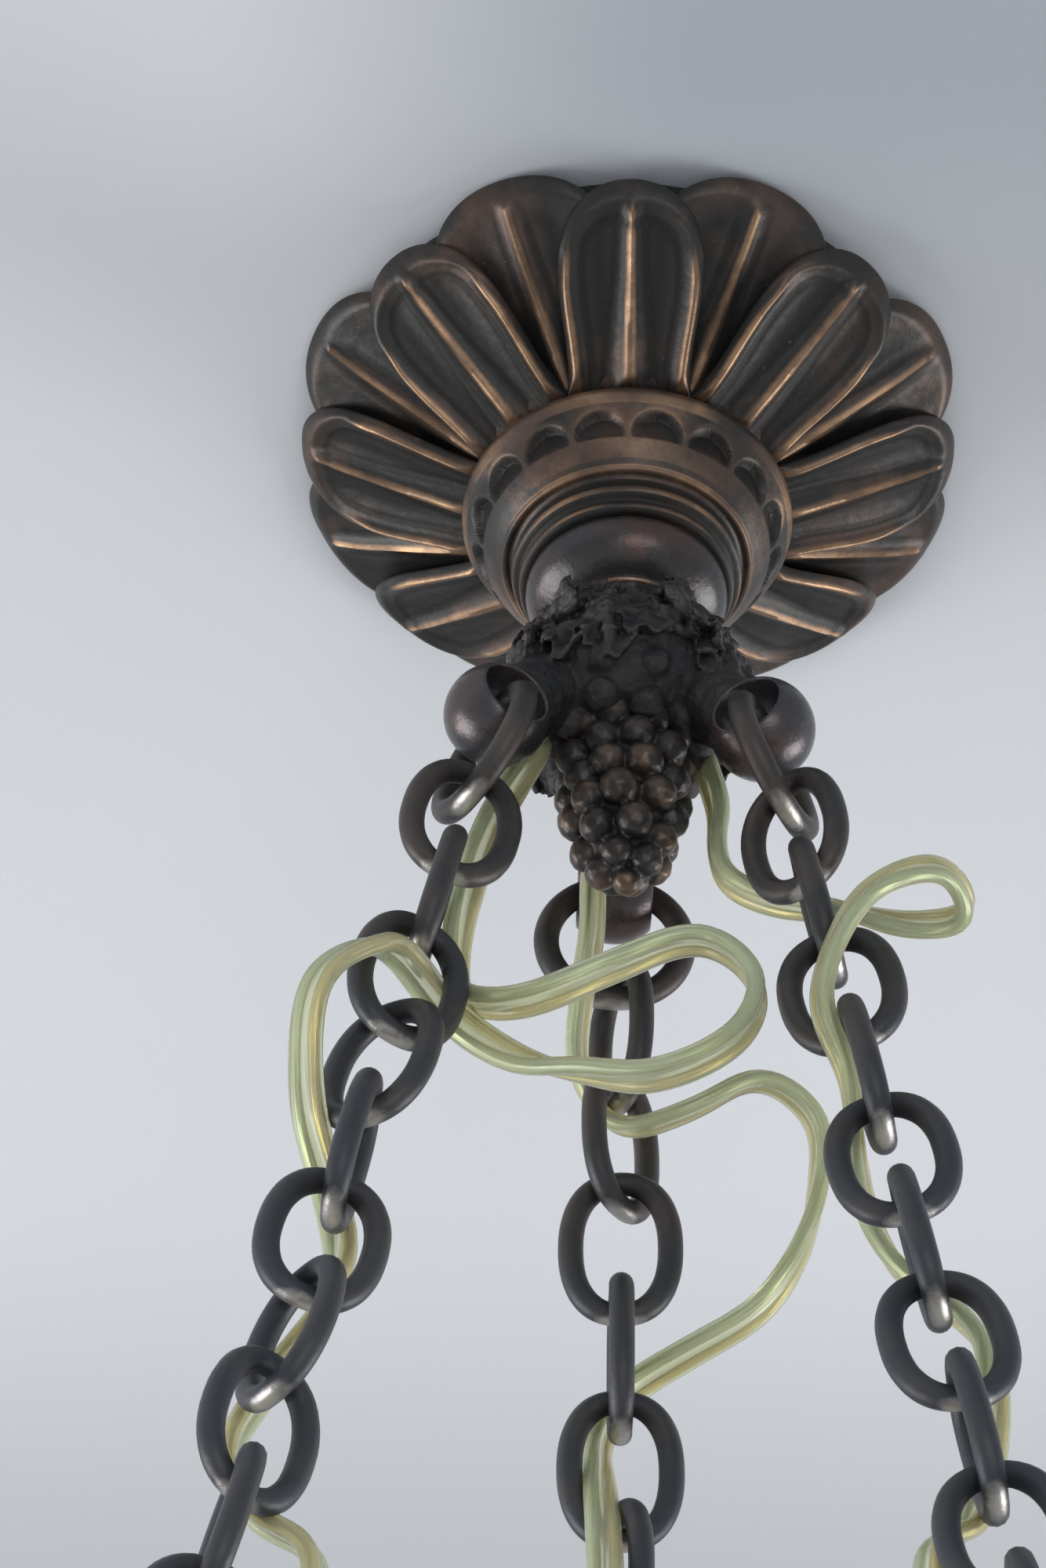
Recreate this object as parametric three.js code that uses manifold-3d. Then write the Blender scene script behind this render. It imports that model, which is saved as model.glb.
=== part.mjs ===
// Alabaster bowl pendant: a lotus ceiling rose, a turned neck and a vine-leaf hub
// with a grape finial, from which three chains carry a shallow alabaster bowl.
// Millimetres, +Z up. The origin is on the ceiling, in the middle of the rose.

import * as THREE from "three";
import * as BufferGeometryUtils from "three/addons/utils/BufferGeometryUtils.js";
import Module from "manifold-3d";

const wasm = await Module();
wasm.setup();

// Fits
const seatGap = 0.3; // left between faces that rest on each other
const fusion = 1.6; // how much shorter the joined links of a run are than free ones
const ringPlay = 2.3; // room for a ring to tilt in its ball as the chain swings
const hookPlay = 1.2; // room for a chain's last link to lift in the bowl's eye

// Ceiling strap, its screws and the hollow stem that everything is stacked on
const strap = { end: 7.5, width: 20, thickness: 3, screwSpacing: 88.9 };
const strapScrew = { shank: 4, head: 8, headHeight: 2.6, length: 20 };
const stem = { outer: 13, bore: 9.2, rise: 8, window: 5 };
const locknut = { acrossFlats: 22, height: 5 };
const terminal = { length: 24, width: 16, height: 12, place: 26, lead: 3.6 };

// Lotus rose
const rose = { depth: 27, collar: 34, wall: 2.2, rimThickness: 3 };
const petals = { count: 8, reach: 70, rearOver: 2, width: 28, relief: 3.2, rib: 1.1, rim: 9 };

// Gadrooned cup below the rose
const cup = { height: 26, rim: 34, ring: 25.6, foot: 21.7, scallops: 16, scallopWidth: 9.4 };

// Turned neck between the cup and the hub
const neck = { height: 13.4, body: 21, waist: 12.4, ring: 13.4 };

// Hub casting: a leafy dome with three pierced balls
const hub = { crown: 13, height: 37, girth: 24, wall: 5, turn: 3, cordHole: 8.4, cordRoom: 5 };
const cordMouth = { radius: 15.5, left: 195, right: 8, rear: 102 };
const balls = { count: 3, circle: 30.6, drop: 46, radius: 10.6, width: 16, hole: 13.8 };

// Grape finial that clamps the hub on the stem
const grapes = { top: 12.2, length: 42, berry: 3.4, rows: 6, perRow: 9, socket: 12 };

// Chains
const ring = { wire: 5.2, outer: 33 };
const link = { wire: 5, width: 24.5, length: 35.5, fullness: 2.3 };
const chain = { links: 25, single: 8 };

// Alabaster bowl
const bowl = { radius: 175, wall: 9, band: 38, depth: 128, hookDrop: 18, turn: -2, facets: 36 };

// Eye bolts that hang the bowl on the chains, and their rosette nuts
const eye = { wire: 6, ring: 16, collar: 12, collarThickness: 3, shank: 6 };
const rosette = { radius: 9, height: 7 };

// Lamp spider and the three lamps that it carries inside the bowl
const spider = { thickness: 2.5, width: 12, armDrop: 15, centre: 24 };
const cluster = { radius: 20, capHeight: 15, height: 28 };
const holder = { radius: 13, length: 38, bore: 15.4, depth: 25 };
const lamp = { cap: 14, globe: 45, length: 74 };

// Clear twin cords: the round that a flat 7 x 3.5 mm cord fills
const cord = { tube: 4.2, sides: 8 };

// Levels, worked out downwards from the ceiling
const cupTop = -rose.depth - seatGap;
const neckTop = cupTop - cup.height - seatGap;
const hubTop = neckTop - neck.height - seatGap;
const hubBottom = hubTop - hub.height;
const ballLevel = hubTop - balls.drop;
const grapeTop = hubBottom - seatGap;
const stemBottom = grapeTop - grapes.socket + seatGap;

// Chains: the first ring hangs in the ball, every link in the one above
const ringRadius = (ring.outer - ring.wire) / 2;
const mouthDip = ringRadius - Math.sqrt(ringRadius ** 2 - (balls.width / 2) ** 2);
const mouthWire = (ring.wire / 2) * (ringRadius / (ringRadius - mouthDip));
const ringTop = balls.hole / 2 - ringPlay - mouthWire - mouthDip;
const ringBottom = ringTop + 2 * ringRadius;
const linkReach = link.length - link.wire;
const pitch = linkReach - link.wire - seatGap;
const firstLinkTop = ringBottom - (ring.wire + link.wire) / 2 - seatGap;
const chainEnd = firstLinkTop + (chain.links - 2) * pitch + linkReach;
const eyeBelowEnd = (eye.ring - link.wire - eye.wire) / 2 - hookPlay;
const chainLength = chainEnd + eyeBelowEnd;

// Bowl: the hooks' radius follows from its inner wall, the chains' slope from both
const bowlInner = bowl.radius - bowl.wall;
const facetInset = Math.cos(Math.PI / bowl.facets);
const lugOuter = bowlInner * facetInset - seatGap;
const nutSeat = bowl.radius * facetInset + seatGap;
const collarOuter = lugOuter - spider.thickness - seatGap;
const hookRadius = collarOuter - eye.collarThickness - (eye.ring + eye.wire) / 2 + 1;
const chainRun = hookRadius - balls.circle;
const hookLevel = ballLevel - Math.sqrt(chainLength ** 2 - chainRun ** 2);
const bowlRim = hookLevel + bowl.hookDrop;
const armTop = hookLevel - spider.armDrop;
const lampLevel = armTop - spider.thickness - seatGap - cluster.height / 2;

// Three sides: where the balls and hooks stand, and how each link is turned about
// its chain, in degrees from the plane across the radius
const sides = [
  { name: "left", angle: 210, lean: 0, turns: [0, 100, 20, 92, 150, 28, 105, 172, 80, 15, 105] },
  { name: "right", angle: 330, lean: 0, turns: [0, 104, 164, 80, 162, 74, 164, 64, 160, 70] },
  { name: "rear", angle: 90, lean: -1.2, turns: [0, 68, 126, 184, 272, 360, 430] },
];

const finishes = {
  bronze: { color: 0x4a3c32, metalness: 0.8, roughness: 0.45 },
  darkBronze: { color: 0x2c2a29, metalness: 0.6, roughness: 0.6 },
  chainIron: { color: 0x34363a, metalness: 0.7, roughness: 0.5 },
  steel: { color: 0x9a9c9e, metalness: 0.9, roughness: 0.4 },
  brass: { color: 0xa98c4e, metalness: 0.9, roughness: 0.35 },
  alabaster: { color: 0xe9e0cf, metalness: 0, roughness: 0.35 },
  porcelain: { color: 0xf0efe9, metalness: 0, roughness: 0.3 },
  opalGlass: { color: 0xf6f4ee, metalness: 0, roughness: 0.25 },
  clearCord: { color: 0xb9b883, metalness: 0, roughness: 0.3 },
};

const fixture = new THREE.Group();

function place(name, geometry, finish) {
  const mesh = new THREE.Mesh(geometry, new THREE.MeshStandardMaterial(finishes[finish]));
  mesh.name = name;
  fixture.add(mesh);
  return mesh;
}

// Solids from three.js shapes

function solid(geometry) {
  const bare = geometry.clone();
  bare.deleteAttribute("normal");
  bare.deleteAttribute("uv");
  const merged = BufferGeometryUtils.mergeVertices(bare, 1e-4);
  return new wasm.Manifold(
    new wasm.Mesh({
      numProp: 3,
      vertProperties: new Float32Array(merged.attributes.position.array),
      triVerts: new Uint32Array(merged.index.array),
    })
  );
}

function shape(body) {
  const mesh = body.getMesh();
  const geometry = new THREE.BufferGeometry();
  const points = new THREE.BufferAttribute(new Float32Array(mesh.vertProperties), 3);
  geometry.setAttribute("position", points);
  geometry.setIndex(new THREE.BufferAttribute(new Uint32Array(mesh.triVerts), 1));
  geometry.computeVertexNormals();
  return geometry;
}

function turned(profile, segments = 32) {
  const points = profile.map(([r, z]) => new THREE.Vector2(r, z));
  return new THREE.LatheGeometry(points, segments).rotateX(Math.PI / 2);
}

function rod(radius, bottom, top, segments = 16) {
  return turned([[0, bottom], [radius, bottom], [radius, top], [0, top]], segments);
}

function sleeve(outer, inner, bottom, top, segments = 24) {
  const wall = [[inner, bottom], [outer, bottom], [outer, top], [inner, top], [inner, bottom]];
  return turned(wall, segments);
}

function hexagon(acrossFlats, bottom, top, bore) {
  const outer = rod(acrossFlats / Math.sqrt(3), bottom, top, 6);
  return solid(outer).subtract(solid(rod(bore, bottom - 1, top + 1)));
}

// The place of a side: its direction, the way across it, its ball and its hook

const radians = THREE.MathUtils.degToRad;

function across(angle) {
  return new THREE.Vector3(-Math.sin(radians(angle)), Math.cos(radians(angle)), 0);
}

function around(radius, angle, z) {
  const a = radians(angle);
  return new THREE.Vector3(radius * Math.cos(a), radius * Math.sin(a), z);
}

function chainFrame(side) {
  const ball = around(balls.circle, side.angle + hub.turn, ballLevel);
  const hook = around(hookRadius, side.angle + bowl.turn, hookLevel);
  const start = ball.clone().addScaledVector(across(side.angle + hub.turn), side.lean);
  const down = hook.clone().sub(start).normalize();
  const sideways = across(side.angle + hub.turn);
  sideways.addScaledVector(down, -sideways.dot(down)).normalize();
  return { ball, hook, start, down, sideways };
}

// A geometry drawn with its length along -Z and its width along X, moved to a chain

function onChain(geometry, origin, down, sideways) {
  const up = down.clone().negate();
  const normal = new THREE.Vector3().crossVectors(up, sideways);
  const matrix = new THREE.Matrix4().makeBasis(sideways, normal, up).setPosition(origin);
  return geometry.applyMatrix4(matrix);
}

// Ceiling strap, screws, stem and locknuts

function addStrap() {
  const length = strap.screwSpacing + 2 * strap.end;
  const flat = new THREE.BoxGeometry(length, strap.width, strap.thickness);
  flat.translate(0, 0, -strap.thickness / 2);
  const stemHole = rod(stem.outer / 2 + seatGap, -strap.thickness - 1, 1);
  let body = solid(flat).subtract(solid(stemHole));
  for (const x of [-strap.screwSpacing / 2, strap.screwSpacing / 2]) {
    const hole = rod(strapScrew.shank / 2 + seatGap, -strap.thickness - 1, 1, 12);
    body = body.subtract(solid(hole.translate(x, 0, 0)));
  }
  place("ceiling_strap", shape(body), "steel");
}

function addStrapScrew(name, x) {
  const headTop = -strap.thickness - seatGap;
  const head = headTop - strapScrew.headHeight;
  const profile = [
    [0, head],
    [strapScrew.head * 0.35, head],
    [strapScrew.head / 2, head + strapScrew.headHeight * 0.5],
    [strapScrew.head / 2, headTop],
    [strapScrew.shank / 2, headTop],
    [strapScrew.shank / 2, headTop + strapScrew.length],
    [0, headTop + strapScrew.length + strapScrew.shank * 0.4],
  ];
  place(name, turned(profile, 12).translate(x, 0, 0), "steel");
}

function addStem() {
  const tube = sleeve(stem.outer / 2, stem.bore / 2, stemBottom, stem.rise, 16);
  const canopyWindow = -strap.thickness - locknut.height - stem.window;
  let body = solid(tube);
  for (const level of [canopyWindow, hubTop - hub.height * 0.55]) {
    const opening = rod(stem.window / 2, 0, stem.outer, 10).rotateY(Math.PI / 2);
    body = body.subtract(solid(opening.translate(0, 0, level)));
  }
  place("threaded_stem", shape(body), "brass");
  return canopyWindow;
}

function addLocknuts() {
  const bore = stem.outer / 2 + seatGap;
  const upper = hexagon(locknut.acrossFlats, seatGap, seatGap + locknut.height, bore);
  const top = -strap.thickness - seatGap;
  const lower = hexagon(locknut.acrossFlats, top - locknut.height, top, bore);
  place("locknut_upper", shape(upper), "brass");
  place("locknut_lower", shape(lower), "brass");
}

function addTerminal(windowLevel) {
  const top = -strap.thickness - seatGap;
  const block = new THREE.BoxGeometry(terminal.length, terminal.width, terminal.height);
  block.translate(terminal.place, 0, top - terminal.height / 2);
  place("terminal_block", block, "porcelain");
  const level = top - terminal.height * 0.75;
  const from = stem.outer / 2 + 2 * seatGap;
  const reach = terminal.place - terminal.length / 2 - 2 * seatGap - from;
  const bend = [[0, windowLevel], [0.3, windowLevel], [0.7, level], [1, level]];
  const points = bend.map(([share, z]) => new THREE.Vector3(from + share * reach, 0, z));
  const path = new THREE.CatmullRomCurve3(points);
  place("terminal_lead", tube(path, terminal.lead / 2, 8, 8), "clearCord");
}

// A tube along an open path

function tube(path, radius, steps, sides) {
  const section = new THREE.Shape();
  for (let i = 0; i < sides; i += 1) {
    const a = (2 * Math.PI * (i + 0.5)) / sides;
    const corner = [radius * Math.cos(a), radius * Math.sin(a)];
    if (i === 0) section.moveTo(...corner);
    else section.lineTo(...corner);
  }
  section.closePath();
  return new THREE.ExtrudeGeometry(section, { steps, bevelEnabled: false, extrudePath: path });
}

// Lotus rose: eight front petals over eight rear petals, on one hollow casting

function roseSlope(radius) {
  const outermost = petals.reach + petals.rearOver;
  const out = THREE.MathUtils.clamp((outermost - radius) / (outermost - rose.collar), 0, 1);
  return -rose.rimThickness - (rose.depth - rose.rimThickness) * out ** 0.8;
}

function petalPoint(angle, share) {
  const step = (2 * Math.PI) / petals.count;
  const offset = angle - Math.round(angle / step) * step;
  const reach = roseReach(offset, step);
  const radius = rose.collar + (reach - rose.collar) * share;
  const sideways = Math.abs(radius * Math.sin(offset));
  const half = petals.width / 2;
  const tip = Math.max(0, (radius - petals.reach + half * 0.7) / (half * 0.7));
  const edge = half * Math.sqrt(Math.max(0, 1 - tip ** 2));
  const slope = roseSlope(radius);
  const rise = Math.min(1, share * 2.5);
  if (sideways < edge) {
    const fold = sideways / half;
    const rib = petals.rib * (Math.exp(-((fold / 0.12) ** 2)) + fold ** 4);
    return [radius, slope - rise * (petals.relief * 0.3 + rib)];
  }
  const gap = Math.abs(Math.abs(offset) - step / 2) * radius;
  const rib = petals.rib * Math.exp(-((gap / 1.6) ** 2));
  return [radius, slope + rise * (petals.relief * 0.7 * share - rib)];
}

function roseReach(offset, step) {
  const tipHalf = step * 0.19;
  const away = Math.abs(offset);
  if (away < tipHalf) return petals.reach - 1.6 * (away / tipHalf) ** 2;
  const centred = (away - step / 2) / (step / 2 - tipHalf);
  return petals.reach + petals.rearOver - 3.6 * centred ** 4;
}

function addRose() {
  const segments = petals.count * 10;
  const along = 5;
  const rings = [];
  for (let j = 0; j <= along; j += 1) rings.push((angle) => petalPoint(angle, j / along));
  rings.push((angle) => [petalPoint(angle, 1)[0] - 0.8, -0.6]);
  rings.push((angle) => [petalPoint(angle, 1)[0] - 1.6, 0]);
  const outside = solid(polarShell(rings, segments, -rose.depth, 0));
  const hollow = petals.reach - petals.rim;
  const inner = [[0, 1], [hollow, 1], [hollow, -rose.rimThickness]];
  for (let j = 1; j <= 4; j += 1) {
    const radius = hollow + (rose.collar - 3 - hollow) * (j / 4);
    inner.push([radius, roseSlope(radius) + rose.wall + petals.relief]);
  }
  inner.push([stem.outer / 2 + seatGap, -rose.depth + rose.wall * 1.6]);
  inner.push([stem.outer / 2 + seatGap, -rose.depth - 5], [0, -rose.depth - 5]);
  const body = outside.subtract(solid(turned(inner.reverse(), 20)));
  place("canopy_rose", shape(body), "bronze");
}

// A closed shell of rings about +Z, flat across its first and last ring

function polarShell(rings, segments, bottom, top) {
  const points = [0, 0, bottom];
  for (const ringAt of rings) {
    for (let i = 0; i < segments; i += 1) {
      const angle = (2 * Math.PI * i) / segments;
      const [radius, z] = ringAt(angle);
      points.push(radius * Math.cos(angle), radius * Math.sin(angle), z);
    }
  }
  points.push(0, 0, top);
  const last = points.length / 3 - 1;
  const index = [];
  for (let i = 0; i < segments; i += 1) {
    const next = (i + 1) % segments;
    index.push(0, 1 + next, 1 + i);
    for (let j = 0; j < rings.length - 1; j += 1) {
      const a = 1 + j * segments;
      const b = a + segments;
      index.push(a + i, a + next, b + i, a + next, b + next, b + i);
    }
    const end = 1 + (rings.length - 1) * segments;
    index.push(end + i, end + next, last);
  }
  const geometry = new THREE.BufferGeometry();
  geometry.setAttribute("position", new THREE.Float32BufferAttribute(points, 3));
  geometry.setIndex(index);
  return geometry;
}

// Gadrooned cup: sixteen scallops cut under its rim, two beads at its foot

function addCup() {
  const bore = stem.outer / 2 + seatGap;
  const drop = cup.height;
  const profile = [
    [bore, 0], [cup.rim - 4, 0], [cup.rim, -0.13 * drop],
    [cup.rim - 0.7, -0.26 * drop], [cup.rim - 2.6, -0.42 * drop],
    [cup.rim - 5.4, -0.58 * drop], [cup.ring, -0.7 * drop],
    [cup.ring - 2.1, -0.78 * drop], [cup.ring - 2.1, -0.86 * drop],
    [cup.foot, -0.92 * drop], [cup.foot - 0.5, -drop],
    [bore, -drop], [bore, 0],
  ].map(([r, z]) => [r, cupTop + z]);
  let body = solid(turned(profile.reverse(), 32));
  for (let i = 0; i < cup.scallops; i += 1) {
    const angle = (360 / cup.scallops) * (i + 0.5);
    const niche = new THREE.OctahedronGeometry(1.15);
    niche.scale(3, cup.scallopWidth / 2, cup.scallopWidth / 2);
    niche.translate(cup.rim - 0.4, 0, cupTop - 0.36 * drop);
    body = body.subtract(solid(niche.rotateZ(radians(angle))));
  }
  place("gadroon_cup", shape(body), "bronze");
}

function addNeck() {
  const bore = stem.outer / 2 + seatGap;
  const drop = neck.height;
  const profile = [
    [bore, 0], [neck.body - 0.6, 0], [neck.body, -0.12 * drop], [neck.body - 0.5, -0.3 * drop],
    [neck.body - 2.6, -0.52 * drop], [neck.body - 5.6, -0.7 * drop],
    [neck.ring - 0.3, -0.78 * drop], [neck.ring, -0.82 * drop], [neck.ring, -0.9 * drop],
    [neck.waist, -0.94 * drop], [neck.waist, -drop], [bore, -drop], [bore, 0],
  ].map(([r, z]) => [r, neckTop + z]);
  place("turned_neck", turned(profile.reverse(), 20), "bronze");
}

// Hub: hollow dome, three arms, and three flattened balls pierced across the radius

function addHub() {
  const drop = hub.height;
  const profile = [
    [0, 0], [hub.crown - 0.8, 0], [hub.crown + 1.6, -0.07 * drop], [hub.girth * 0.79, -0.25 * drop],
    [hub.girth * 0.93, -0.5 * drop], [hub.girth, -0.74 * drop], [hub.girth * 0.95, -0.92 * drop],
    [hub.girth * 0.84, -drop], [0, -drop],
  ].map(([r, z]) => [r, hubTop + z]);
  let body = solid(turned(profile.reverse(), 20));
  const frames = sides.map((side) => chainFrame(side));
  for (const [i, side] of sides.entries()) {
    body = body.add(ballAndArm(side.angle + hub.turn, frames[i].ball));
  }
  const bunchRoom = rod(grapes.top + grapes.berry + hub.cordRoom, ballLevel - balls.radius - 1, hubBottom);
  body = body.subtract(solid(bunchRoom));
  body = body.subtract(solid(hubHollow()));
  body = body.subtract(solid(rod(stem.outer / 2 + seatGap, hubBottom - 1, hubTop + 1)));
  for (const [i, side] of sides.entries()) {
    const piercing = rod(balls.hole / 2, -balls.width, balls.width, 14).rotateX(Math.PI / 2);
    piercing.rotateZ(radians(side.angle + hub.turn)).translate(...frames[i].ball);
    body = body.subtract(solid(piercing));
    const outlet = rod(hub.cordHole / 2, hubBottom - 1, hubBottom + hub.wall + 8, 8);
    const mouth = around(cordMouth.radius, cordMouth[side.name], 0);
    body = body.subtract(solid(outlet.translate(mouth.x, mouth.y, 0)));
  }
  place("hub_casting", shape(body), "darkBronze");
}

function hubHollow() {
  const wallIn = hub.girth - hub.wall;
  const top = hubTop - 0.32 * hub.height;
  const floor = hubBottom + hub.wall;
  const profile = [[0, floor], [wallIn - 2, floor], [wallIn, floor + 5], [wallIn - 3, top - 3]];
  profile.push([wallIn - 7, top], [0, top]);
  return turned(profile, 10);
}

function ballAndArm(angle, centre) {
  const ball = new THREE.SphereGeometry(balls.radius, 10, 7);
  const flats = new THREE.BoxGeometry(4 * balls.radius, balls.width, 4 * balls.radius);
  const cheek = solid(ball).intersect(solid(flats));
  const root = new THREE.Vector3(hub.girth * 0.5, 0, balls.drop * 0.42);
  const tip = new THREE.Vector3(balls.circle, 0, 0);
  const reach = root.distanceTo(tip);
  const arm = new THREE.CylinderGeometry(balls.radius * 0.85, balls.radius * 0.6, reach, 7);
  const lay = new THREE.Quaternion().setFromUnitVectors(
    new THREE.Vector3(0, 1, 0),
    root.clone().sub(tip).normalize()
  );
  arm.applyQuaternion(lay);
  arm.translate((root.x + tip.x) / 2 - balls.circle, 0, (root.z + tip.z) / 2);
  const bulk = cheek.add(solid(arm).intersect(solid(flats)));
  const moved = shape(bulk).rotateZ(radians(angle)).translate(...centre);
  return solid(moved);
}

// Grape finial: berries in staggered rows on a tapering core

function addGrapes() {
  const { rows, perRow, berry, length } = grapes;
  const perBerry = 3;
  const bunch = [() => [0.5, grapeTop - length]];
  for (let i = rows * perBerry - 1; i >= 0; i -= 1) {
    const row = i / perBerry;
    const share = (row + 0.3) / rows;
    const shoulder = Math.min(1, 0.6 + 3 * share);
    const body = grapes.top * shoulder * Math.sqrt(1 - share ** 2.4);
    bunch.push((angle) => {
      const odd = Math.round(row) % 2;
      const turn = (angle * perRow) / (2 * Math.PI) + odd / 2;
      const aside = (turn - Math.round(turn)) * 2;
      const above = (row - Math.round(row)) * 2;
      const swell = Math.sqrt(Math.max(0, 1 - 0.55 * aside ** 2 - 0.8 * above ** 2));
      return [body + berry * swell * shoulder * (1 - 0.4 * share), grapeTop - share * (length - berry)];
    });
  }
  bunch.push(() => [grapes.top * 0.7, grapeTop]);
  const shell = polarShell(bunch, perRow * 4, grapeTop - length, grapeTop);
  const socket = rod(stem.outer / 2 + seatGap, stemBottom - seatGap, grapeTop + 5);
  place("grape_finial", shape(solid(shell).subtract(solid(socket))), "darkBronze");
}

// Chain: one large ring, then oval links, the last stretch joined into one run

class OvalPath extends THREE.Curve {
  constructor(halfWidth, halfLength, fullness) {
    super();
    this.halves = [halfWidth, halfLength];
    this.power = 2 / fullness;
  }

  // Steps follow the angle, so that they lie closest at the rounded ends
  getUtoTmapping(u) {
    return u;
  }

  getPoint(t, target = new THREE.Vector3()) {
    const a = 2 * Math.PI * t + 0.28 * Math.sin(4 * Math.PI * t);
    const bend = (value) => Math.sign(value) * Math.abs(value) ** this.power;
    const x = this.halves[0] * bend(Math.cos(a));
    return target.set(x, 0, this.halves[1] * bend(Math.sin(a)));
  }
}

function oval(steps, sides, shorter) {
  const width = (link.width - link.wire) / 2;
  const path = new OvalPath(width, (linkReach - shorter) / 2, link.fullness);
  return new THREE.TubeGeometry(path, steps, link.wire / 2, sides, true);
}

function linkTurn(side, number) {
  const known = side.turns.length;
  if (number <= known) return side.turns[number - 1];
  const last = side.turns[known - 1];
  const steps = chain.links - known;
  const total = Math.round((last + 90 * steps) / 180) * 180 - last;
  return last + (total / steps) * (number - known);
}

function placedLink(side, number, geometry) {
  const { start, down, sideways } = chainFrame(side);
  const rise = ringRadius - Math.sqrt(ringRadius ** 2 - side.lean ** 2);
  const top = firstLinkTop - rise + (number - 2) * pitch;
  const centre = start.clone().addScaledVector(down, top + linkReach / 2);
  const widthways = sideways.clone().applyAxisAngle(down, radians(linkTurn(side, number)));
  return onChain(geometry, centre, down, widthways);
}

function addChain(side) {
  const { ball, down, sideways } = chainFrame(side);
  const first = new THREE.TorusGeometry(ringRadius, ring.wire / 2, 6, 14).rotateX(Math.PI / 2);
  const centre = ball.clone().addScaledVector(down, ringTop + ringRadius);
  place(`chain_${side.name}_ring`, onChain(first, centre, down, sideways), "chainIron");
  for (let number = 2; number <= chain.single; number += 1) {
    const name = `chain_${side.name}_link_${number}`;
    place(name, placedLink(side, number, oval(12, 5, 0)), "chainIron");
  }
  let run = null;
  for (let number = chain.single + 1; number <= chain.links; number += 1) {
    const atEnd = number === chain.single + 1 || number === chain.links;
    const next = solid(placedLink(side, number, oval(8, 4, atEnd ? 0 : fusion)));
    run = run ? run.add(next) : next;
  }
  place(`chain_${side.name}_run`, shape(run), "chainIron");
}

// Alabaster bowl: an upright moulded band over a shallow dish, three bolt holes

function addBowl() {
  const dish = bowl.depth - bowl.band;
  const steps = 5;
  const outside = [];
  const inside = [];
  for (let i = 0; i <= steps; i += 1) {
    const a = (Math.PI / 2) * (i / steps);
    const low = bowlRim - bowl.band - dish * Math.cos(a);
    outside.push([bowl.radius * Math.sin(a), low]);
    const lowIn = bowlRim - bowl.band - (dish - bowl.wall) * Math.cos(a);
    inside.push([bowlInner * Math.sin(a), lowIn]);
  }
  const lip = [[bowl.radius, bowlRim - 2], [bowl.radius - 2, bowlRim]];
  lip.push([bowlInner + 2, bowlRim], [bowlInner, bowlRim - 2]);
  const whole = turned([...outside, ...lip, ...inside.reverse()], bowl.facets);
  let body = solid(whole.rotateZ(radians(bowl.turn) + Math.PI / bowl.facets));
  for (const side of sides) {
    const hole = rod(eye.shank / 2 + 2 * seatGap, -bowl.wall, bowl.wall, 10);
    hole.rotateY(Math.PI / 2).translate(bowl.radius - bowl.wall / 2, 0, hookLevel);
    body = body.subtract(solid(hole.rotateZ(radians(side.angle + bowl.turn))));
  }
  place("alabaster_bowl", shape(body), "alabaster");
}

// Eye bolt: ring, collar and shank in one forging, drawn along +X

function addEyeBolt(side) {
  const loop = new THREE.TorusGeometry(eye.ring / 2, eye.wire / 2, 6, 12).rotateX(Math.PI / 2);
  loop.translate(hookRadius, 0, hookLevel);
  const collarIn = collarOuter - eye.collarThickness;
  const along = rod(eye.collar / 2, collarIn, collarOuter, 14);
  const shank = rod(eye.shank / 2, collarIn, bowl.radius + rosette.height, 10);
  let body = solid(loop);
  for (const part of [along, shank]) {
    body = body.add(solid(part.rotateY(Math.PI / 2).translate(0, 0, hookLevel)));
  }
  const geometry = shape(body).rotateZ(radians(side.angle + bowl.turn));
  place(`eye_bolt_${side.name}`, geometry, "bronze");
}

function addRosetteNut(side) {
  const base = nutSeat;
  const bore = eye.shank / 2 + seatGap;
  const profile = [[bore, base], [rosette.radius, base], [rosette.radius, base + 2]];
  profile.push([rosette.radius * 0.62, base + 3.2], [rosette.radius * 0.56, base + 6]);
  profile.push([rosette.radius * 0.3, base + rosette.height + 1.5], [0, base + rosette.height + 2]);
  profile.push([0, bowl.radius + rosette.height + seatGap]);
  profile.push([bore, bowl.radius + rosette.height + seatGap], [bore, base]);
  const nut = turned(profile, 8).rotateY(Math.PI / 2).translate(0, 0, hookLevel);
  place(`rosette_nut_${side.name}`, nut.rotateZ(radians(side.angle + bowl.turn)), "bronze");
}

// Lamp spider: three flat arms from the bolts to a round centre plate

function addSpider() {
  const { thickness, width, centre } = spider;
  let body = solid(rod(centre, armTop - thickness, armTop, 30));
  for (const side of sides) {
    const arm = new THREE.BoxGeometry(lugOuter, width, thickness);
    arm.translate(lugOuter / 2, 0, armTop - thickness / 2);
    const lugHeight = spider.armDrop + width / 2 + thickness;
    const lug = new THREE.BoxGeometry(thickness, width, lugHeight);
    lug.translate(lugOuter - thickness / 2, 0, armTop - thickness + lugHeight / 2);
    const hole = rod(eye.shank / 2 + seatGap, lugOuter - 3 * thickness, lugOuter + 1, 10);
    const pierced = solid(lug).subtract(
      solid(hole.rotateY(Math.PI / 2).translate(0, 0, hookLevel))
    );
    const whole = shape(solid(arm).add(pierced)).rotateZ(radians(side.angle + bowl.turn));
    body = body.add(solid(whole));
  }
  const opening = rod(cluster.radius * 0.4, armTop - 2 * thickness, armTop + thickness, 16);
  place("lamp_spider", shape(body.subtract(solid(opening))), "bronze");
}

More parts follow.
